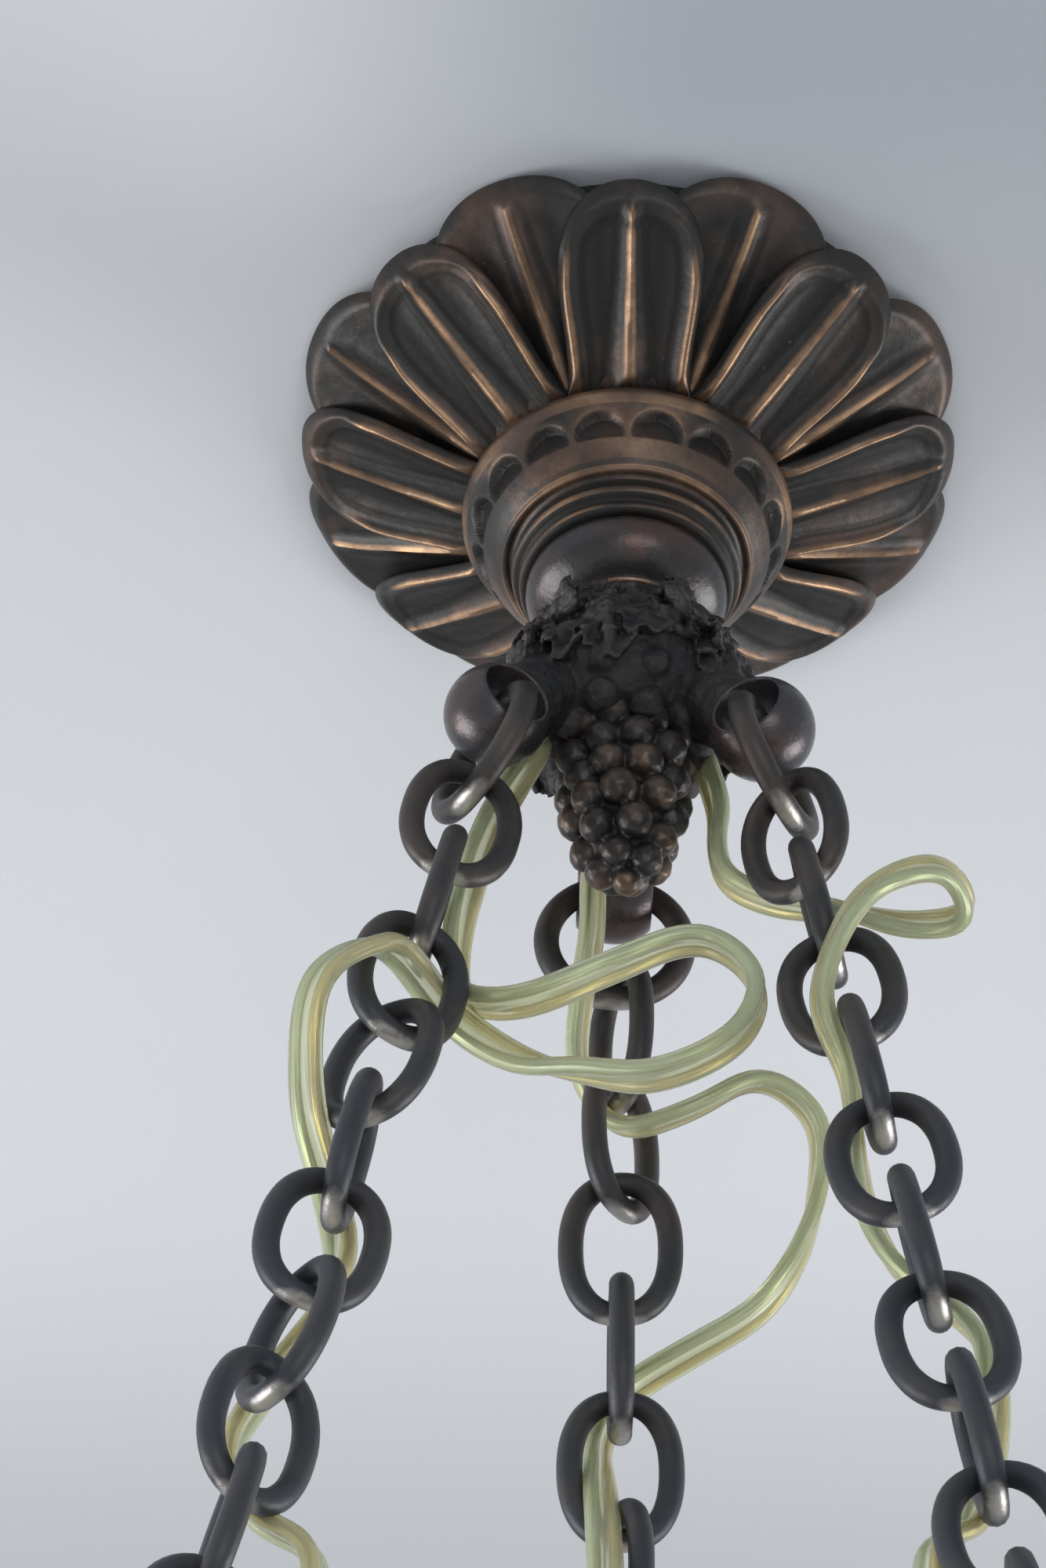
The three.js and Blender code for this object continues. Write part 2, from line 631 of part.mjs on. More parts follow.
function addCluster() {
  const capBottom = armTop + seatGap;
  const r = cluster.radius;
  const dome = [[0, capBottom], [r, capBottom], [r, capBottom + cluster.capHeight * 0.6]];
  dome.push([r * 0.8, capBottom + cluster.capHeight * 0.9], [0, capBottom + cluster.capHeight]);
  place("cluster_cap", turned(dome, 24), "bronze");
  const top = armTop - spider.thickness - seatGap;
  const stub = cluster.radius * 0.4 - seatGap;
  const body = [[0, top - cluster.height - 4], [r * 0.5, top - cluster.height - 3]];
  body.push([r, top - cluster.height], [r, top], [stub, top], [stub, armTop]);
  body.push([0, armTop]);
  place("cluster_body", turned(body, 24), "bronze");
}

// Lampholder and lamp lie flat, drawn along +X from the cluster body

function addLamp(number, angle) {
  const inner = cluster.radius + seatGap;
  const mouth = inner + holder.length;
  const bore = holder.bore / 2;
  const socket = [[0, inner], [holder.radius * 0.7, inner], [holder.radius, inner + 6]];
  socket.push([holder.radius, mouth], [bore, mouth], [bore, mouth - holder.depth]);
  socket.push([0, mouth - holder.depth]);
  const capStart = mouth - holder.depth + seatGap;
  const globe = lamp.globe / 2;
  const neckEnd = mouth + 4;
  const centre = capStart + lamp.length - globe;
  const glass = [[0, capStart], [lamp.cap / 2 - 3, capStart], [lamp.cap / 2, capStart + 3]];
  glass.push([lamp.cap / 2, mouth], [lamp.cap / 2 + 1.5, neckEnd]);
  for (let i = 0; i <= 7; i += 1) {
    const a = Math.PI * (0.78 - (0.78 * i) / 7);
    glass.push([globe * Math.sin(a), centre + globe * Math.cos(a)]);
  }
  const lay = (geometry) =>
    geometry.rotateY(Math.PI / 2).translate(0, 0, lampLevel).rotateZ(radians(angle));
  place(`lampholder_${number}`, lay(turned(socket, 12)), "porcelain");
  place(`bulb_${number}`, lay(turned(glass, 12)), "opalGlass");
}

// Cords: out of the hub, in loose curves about their chains, then down inside the
// chains and along the spider's arms to the cap of the lamp cluster

const leftRoute = [
  [-15, -4, -92], [-15.8, -3.5, -102.9], [-22.5, -3.3, -119.9],
  [-26.4, -8, -137.3], [-30.1, -9.2, -155.4], [-32.1, -9.5, -173.7],
  [-29.9, -13.3, -191.3], [-18.5, -22.3, -202.1], [-2.3, -25.1, -195.4],
  [14, -26.9, -189.1], [24.6, -29.3, -202.6], [20.8, -31.1, -220.3],
  [6.3, -31.7, -231], [-9.4, -26.6, -224.1], [-13.7, -13.8, -208],
  [-32.5, -12.9, -196.4], [-41.7, -27, -194.6], [-47.1, -37.2, -203.3],
  [-56.3, -40.4, -216.5], [-57.5, -27.5, -234.2], [-52.9, -14.4, -246.1],
  [-50.3, -15.6, -263.9], [-53.6, -19, -281.6], [-61.2, -20.3, -298.2],
  [-67.2, -21.6, -315.6], [-62.1, -24.3, -332.5], [-50.8, -29.1, -346.3],
  [-59.1, -26.5, -384.5], [-65.5, -31.6, -423.2], [-67.5, -42, -461.7],
  [-78.7, -38.1, -499.9], [-85.4, -41.5, -538.8], [-87.2, -51.9, -577.4],
  [-97.2, -50, -616.1], [-105.9, -51.1, -655.1], [-109.7, -57.1, -694.5],
  [-101.5, -54, -732.4], [-69.2, -36.8, -745.6], [-33.8, -18, -745.1],
  [-17.9, -9.5, -744.8],
];

const rightRoute = [
  [15.3, 2.2, -92], [15.8, 2.6, -103], [18.9, 3.3, -117.6], [18.5, 0.8, -132.1],
  [20.8, -2.5, -146.1], [30.3, -6.1, -156.2], [43.1, -9.9, -162.2], [54.6, -14, -170.3],
  [65.3, -21.8, -175.8], [60.1, -33.2, -175.4], [47.2, -35.3, -182.8],
  [39.7, -33.8, -196.1], [36.5, -30.3, -210.6], [41.7, -24.2, -223],
  [42.7, -18.1, -236.2], [44.8, -15.7, -250.5], [50.7, -15, -264.1],
  [59.7, -17.3, -275.7], [64.8, -21.3, -288.9], [64.7, -22.3, -303.6],
  [63, -20.4, -318.2], [59.9, -23.2, -332.2], [52.7, -30.3, -343.1],
  [54.4, -31.6, -381.2], [62.9, -33.7, -420], [64.4, -47, -458.1], [74.1, -44.4, -497],
  [81.1, -46.9, -536.3], [83.5, -58.5, -574.9], [92.2, -58.1, -614.3],
  [100.1, -59.8, -653.8], [104.2, -66.4, -693.4], [98, -61.2, -731.9],
  [66.8, -41.7, -745.6], [32.5, -20.3, -745.1], [17.2, -10.8, -744.8],
];

const rearRoute = [
  [-3.2, 15.2, -92], [-3, 15.6, -103], [-5.9, 19.3, -119.9], [-6.1, 23.5, -133.7],
  [-8.2, 30.4, -146.6], [-8.2, 37.5, -159.6], [0, 41, -171], [14.2, 35.9, -170.7],
  [27.6, 34.8, -162.9], [38.8, 41.5, -167.2], [39.2, 47, -181], [35.5, 50.1, -195.3],
  [27.5, 54.2, -207.5], [14.7, 60.5, -212.7], [2, 66.4, -218.5], [-3.3, 65.2, -232.3],
  [-3.3, 58.9, -246.4], [-2.6, 53.5, -260.8], [-1.9, 51.1, -276], [0.1, 50.3, -315.2],
  [7.1, 59, -353.1], [-0.8, 66, -391.1], [2.1, 73.5, -429.1], [9, 81, -466.9],
  [0.2, 87.8, -504.7], [2.2, 95.2, -543], [9.5, 102.7, -580.8], [4.4, 109.7, -619.3],
  [3, 117.5, -657.8], [5.5, 123.9, -696.5], [3.9, 114, -733.4], [2.7, 77.7, -745.6],
  [1.3, 38.3, -745.1], [0.7, 20.3, -744.8],
];

class CordPath extends THREE.CatmullRomCurve3 {
  // Steps follow the points of the route, which lie closest where it bends most
  getUtoTmapping(u) {
    return u;
  }
}

function addCord(name, route) {
  const path = new CordPath(route.map((point) => new THREE.Vector3(...point)));
  const steps = 2 * (route.length - 1);
  place(name, tube(path, cord.tube / 2, steps, cord.sides), "clearCord");
}

addStrap();
addStrapScrew("strap_screw_left", -strap.screwSpacing / 2);
addStrapScrew("strap_screw_right", strap.screwSpacing / 2);
addTerminal(addStem());
addLocknuts();
addRose();
addCup();
addNeck();
addHub();
addGrapes();
for (const side of sides) {
  addChain(side);
  addEyeBolt(side);
  addRosetteNut(side);
}
addBowl();
addSpider();
addCluster();
for (const [i, side] of sides.entries()) addLamp(i + 1, side.angle + bowl.turn + 60);
addCord("cord_left", leftRoute);
addCord("cord_right", rightRoute);
addCord("cord_rear", rearRoute);

export default fixture;
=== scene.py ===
import math

import bmesh
import bpy
import numpy as np
from mathutils import Matrix, Quaternion, Vector, noise


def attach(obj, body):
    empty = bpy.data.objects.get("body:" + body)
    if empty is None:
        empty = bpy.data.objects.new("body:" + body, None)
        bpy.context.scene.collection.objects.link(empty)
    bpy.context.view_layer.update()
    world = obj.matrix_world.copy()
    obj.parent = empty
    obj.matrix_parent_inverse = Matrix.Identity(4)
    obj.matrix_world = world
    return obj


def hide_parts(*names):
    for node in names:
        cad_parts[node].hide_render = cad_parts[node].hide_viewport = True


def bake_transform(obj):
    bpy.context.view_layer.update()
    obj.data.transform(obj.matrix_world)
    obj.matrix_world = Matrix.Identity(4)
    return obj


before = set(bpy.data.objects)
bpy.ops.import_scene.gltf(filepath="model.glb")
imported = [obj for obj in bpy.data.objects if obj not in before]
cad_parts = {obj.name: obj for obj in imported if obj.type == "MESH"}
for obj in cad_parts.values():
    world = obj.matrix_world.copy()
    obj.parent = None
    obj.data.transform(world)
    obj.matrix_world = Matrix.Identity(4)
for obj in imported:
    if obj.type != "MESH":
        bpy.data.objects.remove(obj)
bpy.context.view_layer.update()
mm = 0.001

# Ceiling strap and screws: a zinc-plated steel strap across the ceiling box, held by two
# pan-head screws. Both keep their plain shapes and get a brushed, faintly stained plate.


class Wire:
    """One socket of a material or a world, used in formulas that add their own nodes."""

    def __init__(self, owner, socket=None):
        self.owner = owner
        self.socket = socket

    def node(self, kind, settings=None, inputs=None, output=0):
        tree = self.owner.node_tree
        made = tree.nodes.new("ShaderNode" + kind)
        for name, value in (settings or {}).items():
            setattr(made, name, value)
        for name, value in (inputs or {}).items():
            if isinstance(value, Wire):
                tree.links.new(value.socket, made.inputs[name])
            elif isinstance(value, tuple) and made.inputs[name].type == "RGBA":
                made.inputs[name].default_value = (*value, 1)
            else:
                made.inputs[name].default_value = value
        return Wire(self.owner, made.outputs[output] if made.outputs else None)

    def calc(self, operation, first, second=0.0):
        return self.node("Math", {"operation": operation}, {0: first, 1: second})

    def __add__(self, other):
        return self.calc("ADD", self, other)

    def __sub__(self, other):
        return self.calc("SUBTRACT", self, other)

    def __rsub__(self, other):
        return self.calc("SUBTRACT", other, self)

    def __mul__(self, other):
        return self.calc("MULTIPLY", self, other)

    __radd__ = __add__
    __rmul__ = __mul__

    def between(self, low, high):
        """A smooth step that is 0 at low and 1 at high."""
        limits = {"Value": self, "From Min": low, "From Max": high}
        return self.node("MapRange", {"interpolation_type": "SMOOTHSTEP"}, limits)

    def mix(self, low, high):
        """A colour that runs from low to high as this value goes from 0 to 1."""
        return self.node("Mix", {"data_type": "RGBA"}, {0: self, 6: low, 7: high}, 2)

    def place(self):
        return self.node("TexCoord", output="Object")

    def axis(self, letter):
        return self.node("SeparateXYZ", {}, {"Vector": self.place()}, letter)

    def attribute(self, name):
        return self.node("Attribute", {"attribute_name": name}, output="Fac")

    def noise(self, scale, detail=4.0, roughness=0.55, vector=None):
        settings = {"Vector": vector or self.place(), "Scale": scale, "Detail": detail}
        return self.node("TexNoise", {}, {**settings, "Roughness": roughness})

    def bump(self, height, distance):
        return self.node("Bump", {}, {"Height": height, "Distance": distance})

    def surface(self, **inputs):
        """Ends a material with the usual shader and gives the material back."""
        named = {name.replace("_", " "): value for name, value in inputs.items()}
        shader = self.node("BsdfPrincipled", {}, named)
        self.node("OutputMaterial", {}, {"Surface": shader})
        return self.owner


def wired(owner):
    """A material's or a world's first wire, its nodes cleared."""
    owner.use_nodes = True
    owner.node_tree.nodes.clear()
    return Wire(owner)


def material(name):
    return wired(bpy.data.materials.new(name))


w = material("zinc_plate")
drawn = w.node("Mapping", {}, {"Vector": w.place(), "Scale": (40.0, 900.0, 900.0)})
grain = w.noise(1.0, vector=drawn)
stain = w.noise(120.0, 6.0).between(0.45, 0.7)
zinc = w.surface(
    Base_Color=stain.mix((0.5, 0.51, 0.52), (0.36, 0.35, 0.33)),
    Metallic=0.9,
    Roughness=0.3 + 0.25 * stain + 0.1 * grain,
    Normal=w.bump(grain, 0.05 * mm),
)


def dress(finish, *nodes):
    """Gives solids of the frame, which keep their shape, their real finish."""
    for node in nodes:
        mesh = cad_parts[node].data
        mesh.materials.clear()
        mesh.materials.append(finish)


dress(zinc, "ceiling_strap", "strap_screw_left", "strap_screw_right")


# Threaded stem and locknuts: a drawn brass tube that hangs from the strap and clamps the
# rose, cup, neck and hub against each other, with a hexagon nut on each side of the strap.

w = material("turned_brass")
tarnish = w.noise(160.0, 5.0).between(0.4, 0.72)
grain = w.noise(1400.0, 2.0)
brass = w.surface(
    Base_Color=tarnish.mix((0.6, 0.43, 0.19), (0.3, 0.2, 0.09)),
    Metallic=0.95,
    Roughness=0.24 + 0.3 * tarnish,
    Normal=w.bump(grain, 0.03 * mm),
)
dress(brass, "threaded_stem", "locknut_upper", "locknut_lower")


# Terminal block and lead: a glazed porcelain block inside the rose, where the three cords
# meet the supply, and the short lead that comes out of the stem's window to it.


def glaze_finish(name, colour, stain):
    w = material(name)
    speck = w.noise(900.0, 3.0).between(0.66, 0.74)
    cloud = w.noise(90.0).between(0.35, 0.75)
    return w.surface(
        Base_Color=(0.6 * speck + 0.35 * cloud).mix(colour, stain),
        Roughness=0.14 + 0.12 * cloud,
        Normal=w.bump(w.noise(260.0), 0.08 * mm),
    )


porcelain = glaze_finish("white_glaze", (0.8, 0.79, 0.74), (0.55, 0.5, 0.42))
dress(porcelain, "terminal_block")


# Canopy rose: a hollow bronze casting of eight broad petals over eight that fill their
# gaps, each with raised ribs, patinated dark and rubbed to copper on the ribs.

rose_inner, petal_count, petal_wall = 31 * mm, 8, 2.4 * mm
petal_foot, petal_fall, petal_span = 6.2 * mm, 21.2 * mm, 38 * mm
ceiling_gap, rose_bottom = -0.3 * mm, -27.2 * mm
front_petal = {"reach": 70 * mm, "half": 15.2 * mm, "tip": 15 * mm, "sunk": 0, "front": True}
rear_petal = {"reach": 72 * mm, "half": 20 * mm, "tip": 17 * mm, "sunk": 3.6 * mm, "front": False}


def faces_of(verts):
    """The faces at some points, each once and in the same order at every run."""
    return list(dict.fromkeys(face for vert in verts for face in vert.link_faces))


def mapped(bm, columns, rows, place, seam):
    """A grid moved to place(along, across), each from 0 to 1, its points joined at seams."""
    made = bmesh.ops.create_grid(bm, x_segments=columns, y_segments=rows, size=1)["verts"]
    for vert in made:
        vert.co = place(vert.co.x * 0.5 + 0.5, vert.co.y * 0.5 + 0.5)
    bmesh.ops.remove_doubles(bm, verts=made, dist=seam)
    made = [vert for vert in made if vert.is_valid]
    bmesh.ops.recalc_face_normals(bm, faces=faces_of(made))
    return made


def softest(first, second):
    """The smaller of two lengths, with the corner between them rounded."""
    first, second = max(first, 1e-7), max(second, 1e-7)
    return (first**-4 + second**-4) ** (-1 / 4)


def fade(value, low, high):
    share = min(1.0, max(0.0, (value - low) / (high - low)))
    return share * share * (3 - 2 * share)


def swell(distance, width):
    return math.exp(-((distance / width) ** 2))


def petal_point(along, across, petal):
    """A point of a petal that grows along +X from the cup to its tip, and its wear, with a painted
    shade line beside each rib.
    """
    reach = petal["reach"]
    share = 2 * across - 1
    end = reach - petal["tip"] * (1 - (1 - abs(share) ** 2.3) ** (1 / 2.3))
    radius = rose_inner + (end - rose_inner) * math.sin(along * math.pi / 2) ** 1.05
    half = petal["half"] - 2.6 * mm * (1 - fade(radius, 33 * mm, 55 * mm))
    aside = share * half
    drop = petal_foot + petal_fall * max(0, (reach - radius) / petal_span) ** 0.84
    tip_room = end - radius
    edge = softest(half - abs(aside), tip_room * 0.85)
    roll = (1.4 + 0.5 * fade(radius, reach - 15 * mm, reach - 3 * mm)) * mm
    if edge < roll:
        drop -= roll * (1 - math.sqrt(max(0.0, 1 - (1 - edge / roll) ** 2))) * 0.95
    near_tip = fade(tip_room, 1.5 * mm, 9 * mm)
    thick = (1.9 - 0.8 * fade(radius, 33 * mm, 60 * mm)) * mm
    middle = swell(aside, thick) * fade(tip_room, 0.8 * mm, 4.5 * mm)
    rim = swell(edge - 1.7 * mm, 1.15 * mm) * (0.35 + 0.65 * near_tip)
    # Painted shade: a shallow groove beside each rib, darkened through the wear value below as a shade
    # line.
    seam = swell(abs(aside) - 2.6 * thick, 0.7 * mm) * near_tip
    bowl = math.sin(math.pi * min(1.0, abs(aside) / (half * 0.8))) ** 2 * near_tip
    if not petal["front"]:
        rim, bowl = 0.45 * rim, 0.9 * bowl
        drop -= 1.2 * mm * (aside / half) ** 2
    else:
        seam += swell(edge - 4.9 * mm, 0.75 * mm) * near_tip
    drop += (1.75 * middle + 1.7 * rim - 1.15 * bowl - 0.3 * seam) * mm - petal["sunk"]
    spot = Vector((radius, aside, drop))
    rubbed = max(middle, rim) ** 2 * (0.75 + 0.5 * noise.noise(spot * 70))
    lump = noise.noise(spot * 90) * 0.2 * mm + noise.noise(spot * 420) * 0.05 * mm
    # The wear value: rubbed ribs, less the painted shade lines beside the ribs and the hollow channels.
    return Vector((radius, aside, -drop - lump)), 0.46 * rubbed - 0.16 * seam - 0.09 * bowl


def in_mm(points, up=0.0):
    return [(radius * mm, up + height * mm) for radius, height in points]


def turned(bm, profile, steps, where=Matrix()):
    """Turns an outline of (radius, height) points about its axis, which stands at where."""
    verts = [bm.verts.new((radius, 0, height)) for radius, height in profile]
    edges = [bm.edges.new(pair) for pair in zip(verts, verts[1:])]
    before = set(bm.verts) - set(verts)
    turn = {"cent": (0, 0, 0), "axis": (0, 0, 1), "angle": 2 * math.pi, "steps": steps}
    bmesh.ops.spin(bm, geom=verts + edges, use_merge=True, **turn)
    made = [vert for vert in bm.verts if vert not in before]
    bmesh.ops.remove_doubles(bm, verts=made, dist=1e-6)
    made = [vert for vert in bm.verts if vert not in before]
    bmesh.ops.recalc_face_normals(bm, faces=faces_of(made))
    bmesh.ops.transform(bm, matrix=where, verts=made)
    return made


def curve_through(points, per):
    """A smooth line through the points, with per steps from each to the next."""
    points = np.array(points, float)
    line = np.vstack([2 * points[0] - points[1], points, 2 * points[-1] - points[-2]])
    found = []
    for p0, p1, p2, p3 in zip(line, line[1:], line[2:], line[3:]):
        gaps = [math.sqrt(np.linalg.norm(b - a)) for a, b in ((p0, p1), (p1, p2), (p2, p3))]
        out = (p1 - p0) / gaps[0] - (p2 - p0) / (gaps[0] + gaps[1]) + (p2 - p1) / gaps[1]
        back = (p2 - p1) / gaps[1] - (p3 - p1) / (gaps[1] + gaps[2]) + (p3 - p2) / gaps[2]
        out, back = out * gaps[1], back * gaps[1]
        for t in np.arange(per) / per:
            a, b = 2 * t**3 - 3 * t**2 + 1, t**3 - 2 * t**2 + t
            found.append(a * p1 + b * out + (1 - a) * p2 + (t**3 - t**2) * back)
    return np.array(found + [points[-1]])


def read(items, name, width=3, kind=float):
    """A property of many points or edges, one row for each."""
    values = np.zeros(len(items) * width, kind)
    items.foreach_get(name, values)
    return values.reshape(-1, width)


def mark_points(mesh, name, values):
    mesh.attributes.new(name, "FLOAT", "POINT").data.foreach_set("value", values)


def mark_wear(mesh, reach):
    """Writes how far each point stands out of its surroundings as the attribute wear."""
    points, normals = read(mesh.vertices, "co"), read(mesh.vertices, "normal")
    first, second = read(mesh.edges, "vertices", 2, int).T
    count = len(points)
    lengths = np.linalg.norm(points[first] - points[second], axis=1)
    rounds = int(min(60, max(3, (reach / max(np.median(lengths), 1e-6)) ** 2)))
    near = (np.bincount(first, minlength=count) + np.bincount(second, minlength=count)).clip(1)
    smooth = points.copy()
    for _ in range(rounds):
        around = np.stack([
            np.bincount(first, smooth[second, axis], count)
            + np.bincount(second, smooth[first, axis], count)
            for axis in range(3)
        ], axis=1)
        smooth = 0.5 * smooth + 0.5 * around / near[:, None]
    mark_points(mesh, "wear", ((points - smooth) * normals).sum(axis=1) / reach)


def mesh_of(name, bm):
    mesh = bpy.data.meshes.new(name)
    bm.to_mesh(mesh)
    bm.free()
    return mesh


def linked(name, data):
    made = bpy.data.objects.new(name, data)
    bpy.context.collection.objects.link(made)
    return made


def piece(name, bm, body, finish, nodes=(), sharp=40, wear=None):
    """Makes a finished piece of a bmesh, on its body and in place of its solids."""
    mesh = mesh_of(name, bm)
    for polygon in mesh.polygons:
        polygon.use_smooth = True
    mesh.set_sharp_from_angle(angle=math.radians(sharp))
    if wear:
        mark_wear(mesh, wear)
    mesh.materials.append(finish)
    made = linked(name, mesh)
    if nodes:
        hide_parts(*nodes)
    if body:
        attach(made, body)
    return made


def patina_finish(name, ground, warm, rubbed, gloss):
    """Dark patina over bronze: warm clouds, dark hollows and ridges rubbed to metal."""
    w = material(name)
    wear = w.attribute("wear")
    cloud = w.noise(38.0, 5.0, 0.6).between(0.44, 0.62)
    patch = w.noise(95.0, 4.0).between(0.45, 0.65)
    speck = w.noise(420.0, 5.0, 0.65)
    ridge = (wear + 0.12 * (speck - 0.5)).between(0.03, 0.26)
    hollow = (0 - wear + 0.06 * (speck - 0.5)).between(0.01, 0.12)
    skin = (cloud * (0.55 + 0.4 * patch)).mix(ground, warm)
    skin = ((wear + 0.1 * (cloud - 0.5)).between(0.0, 0.12) * 0.7).mix(skin, warm)
    skin = (ridge * (0.45 + 0.55 * patch)).mix(skin, rubbed)
    skin = (hollow * 0.8).mix(skin, tuple(0.45 * value for value in ground))
    dust = w.noise(900.0, 2.0).between(0.68, 0.8)
    skin = (dust * 0.25).mix(skin, (0.3, 0.27, 0.25))
    return w.surface(
        Base_Color=skin,
        Metallic=0.55 + 0.35 * ridge,
        Roughness=gloss + 0.2 * (speck - 0.5) + 0.12 * hollow + 0.08 * dust,
        Normal=w.bump(speck + 0.7 * w.noise(130.0, 3.0), 0.14 * mm),
    )


bronze = patina_finish(
    "dark_bronze_patina", (0.04, 0.039, 0.037), (0.115, 0.075, 0.06), (0.42, 0.27, 0.165), 0.42
)

rose_bm = bmesh.new()
worn = rose_bm.verts.layers.float.new("wear")
for petal, columns, offset in ((front_petal, 64, 0.0), (rear_petal, 56, math.pi / petal_count)):
    made = bmesh.ops.create_grid(rose_bm, x_segments=46, y_segments=columns, size=1)["verts"]
    for vert in made:
        across = 0.5 + 0.5 * math.sin(vert.co.y * math.pi / 2)
        vert.co, vert[worn] = petal_point(vert.co.x * 0.5 + 0.5, across, petal)
    faces = faces_of(made)
    bmesh.ops.recalc_face_normals(rose_bm, faces=faces)
    innermost = min(faces, key=lambda face: face.calc_center_median().x)
    innermost.normal_update()
    if innermost.normal.z > 0:
        bmesh.ops.reverse_faces(rose_bm, faces=faces)
    before = set(rose_bm.verts) - set(made)
    bmesh.ops.solidify(rose_bm, geom=faces, thickness=petal_wall)
    made = [vert for vert in rose_bm.verts if vert not in before]
    bmesh.ops.rotate(rose_bm, verts=made, matrix=Matrix.Rotation(offset, 3, "Z"))
    for number in range(1, petal_count):
        angle = 2 * math.pi * number / petal_count
        copy = bmesh.ops.duplicate(rose_bm, geom=made + faces_of(made))["geom"]
        copied = [item for item in copy if isinstance(item, bmesh.types.BMVert)]
        bmesh.ops.rotate(rose_bm, verts=copied, matrix=Matrix.Rotation(angle, 3, "Z"))
for vert in rose_bm.verts:
    vert.co.z = max(min(vert.co.z, ceiling_gap), rose_bottom)
shell = [(33.5, -26), (40, -20), (50, -12.5), (60, -5.5), (66, -2.2), (66, -0.4)]
shell += [(62, -0.4), (52, -7), (42, -14), (30, -20), (7, -23.5), (7, -26), (33.5, -26)]
turned(rose_bm, in_mm(shell), 64)
piece("rose", rose_bm, "ceiling_fitting", bronze, ["canopy_rose"], 50)


# Gadroon cup: a turned bronze cup below the rose, its shoulder carved with sixteen round
# arches, its foot undercut round the neck and closed by two beads.

cup_points = [(7, -27.6), (29, -27.6), (32.6, -27.9), (34.6, -29), (34.9, -30.6), (34.2, -32.2)]
cup_points += [(32.8, -34.5), (31.5, -37.2), (30, -40), (28.3, -42.5), (26.4, -44.6)]
cup_lip = [(26.4, -44.6), (26, -45.2), (25.4, -45.3), (24.4, -44.9), (23.5, -45.6), (23.1, -47)]
cup_beads = [(23.1, -47), (23.3, -47.6), (24, -48.2), (24, -49.2), (23.3, -49.9), (22.4, -50.3)]
cup_beads += [(21.9, -50.9), (22.3, -51.6), (22.3, -52.5), (21.6, -53.2), (20, -53.3), (7, -53.3)]
arch_count, arch_half, arch_length, arch_depth = 16, 5.3 * mm, 6.6 * mm, 2.5 * mm
arch_top, arch_circle, along_slope = -33.9 * mm, 30 * mm, 1.12


def arch_cut(spot):
    """How deep the arches are carved into the cup's shoulder at a point of it, and how near it lies to
    an arch's upper outline, which gets a painted highlight.
    """
    step = 2 * math.pi / arch_count
    angle = math.atan2(spot.y, spot.x) / step
    aside = (angle - math.floor(angle) - 0.5) * step * arch_circle
    below = (arch_top - spot.z) * along_slope
    room = arch_half - math.hypot(aside, max(0.0, arch_half - below))
    deep = arch_depth * max(0.0, 1 - below / arch_length) ** 0.8
    return deep * fade(room, 0, 0.45 * mm), swell(room + 0.35 * mm, 0.5 * mm) * fade(-below, -3 * mm, 0)


cup_bm = bmesh.new()
worn = cup_bm.verts.layers.float.new("wear")
outline = list(curve_through(cup_points, 12)) + list(curve_through(cup_lip, 4))[1:]
outline += list(curve_through(cup_beads, 4))[1:] + [np.array(cup_points[0])]
turned(cup_bm, in_mm(outline), arch_count * 26)
for vert in cup_bm.verts:
    spot = vert.co.copy()
    radius = math.hypot(spot.x, spot.y)
    if radius < 20 * mm:
        continue
    patch = noise.noise(spot * 60)
    if -33 * mm < spot.z < -28 * mm:
        vert[worn] = 0.16 + 0.22 * patch
    elif abs(spot.z + 45 * mm) < 0.7 * mm and radius > 24.5 * mm:
        vert[worn] = 0.12 + 0.2 * patch
    elif abs(spot.z + 48.7 * mm) < 1 * mm or abs(spot.z + 52 * mm) < 0.8 * mm:
        vert[worn] = 0.13 + 0.25 * patch
    elif spot.z < -45.6 * mm:
        vert[worn] = -0.12
    if arch_top - 9.5 * mm < spot.z < arch_top + 1 * mm and radius > 27 * mm:
        cut, rim = arch_cut(spot)
        # Painted shade: the arches darken the deeper they are cut, and a painted highlight runs along
        # their upper rims, over the rubbed patches.
        vert[worn] = 0.05 + 0.06 * rim + 0.14 * patch - 0.16 * min(1.0, cut / mm)
        spot.xy *= (radius - cut) / radius
    vert.co = spot + spot.normalized() * noise.noise(spot * 110) * 0.15 * mm
piece("cup", cup_bm, "ceiling_fitting", bronze, ["gadroon_cup"], 50)


# Turned neck: a smooth bronze bowl between the cup and the hub, drawn in below to a waist
# with one bead.

neck_points = [(7, -53.6), (19.6, -53.6), (20.7, -54.3), (21, -55.6), (20.6, -57.6), (19.3, -60)]
neck_points += [(17.2, -62), (14.9, -63.4), (13.2, -64)]
neck_bead = [(13.2, -64), (12.9, -64.3), (13.5, -64.8), (13.6, -65.5), (13, -66.1), (12.3, -66.3)]
neck_bead += [(12.4, -67), (7, -67)]
neck_bronze = patina_finish(
    "polished_bronze_patina", (0.06, 0.056, 0.058), (0.13, 0.075, 0.062), (0.42, 0.28, 0.2), 0.26
)
neck_bm = bmesh.new()
worn = neck_bm.verts.layers.float.new("wear")
outline = list(curve_through(neck_points[1:], 9)) + list(curve_through(neck_bead, 6))[1:]
outline = [np.array(neck_points[0])] + outline + [np.array(neck_points[0])]
turned(neck_bm, in_mm(outline), 128)
for vert in neck_bm.verts:
    if vert.co.z < -64.4 * mm:
        vert[worn] = 0.2 + 0.2 * noise.noise(vert.co * 90)
piece("neck", neck_bm, "ceiling_fitting", neck_bronze, ["turned_neck"], 50)


# Hub casting: one nearly black casting of a domed bell under crumpled vine leaves, whose
# three arms end in smooth balls pierced across the radius for the chains.

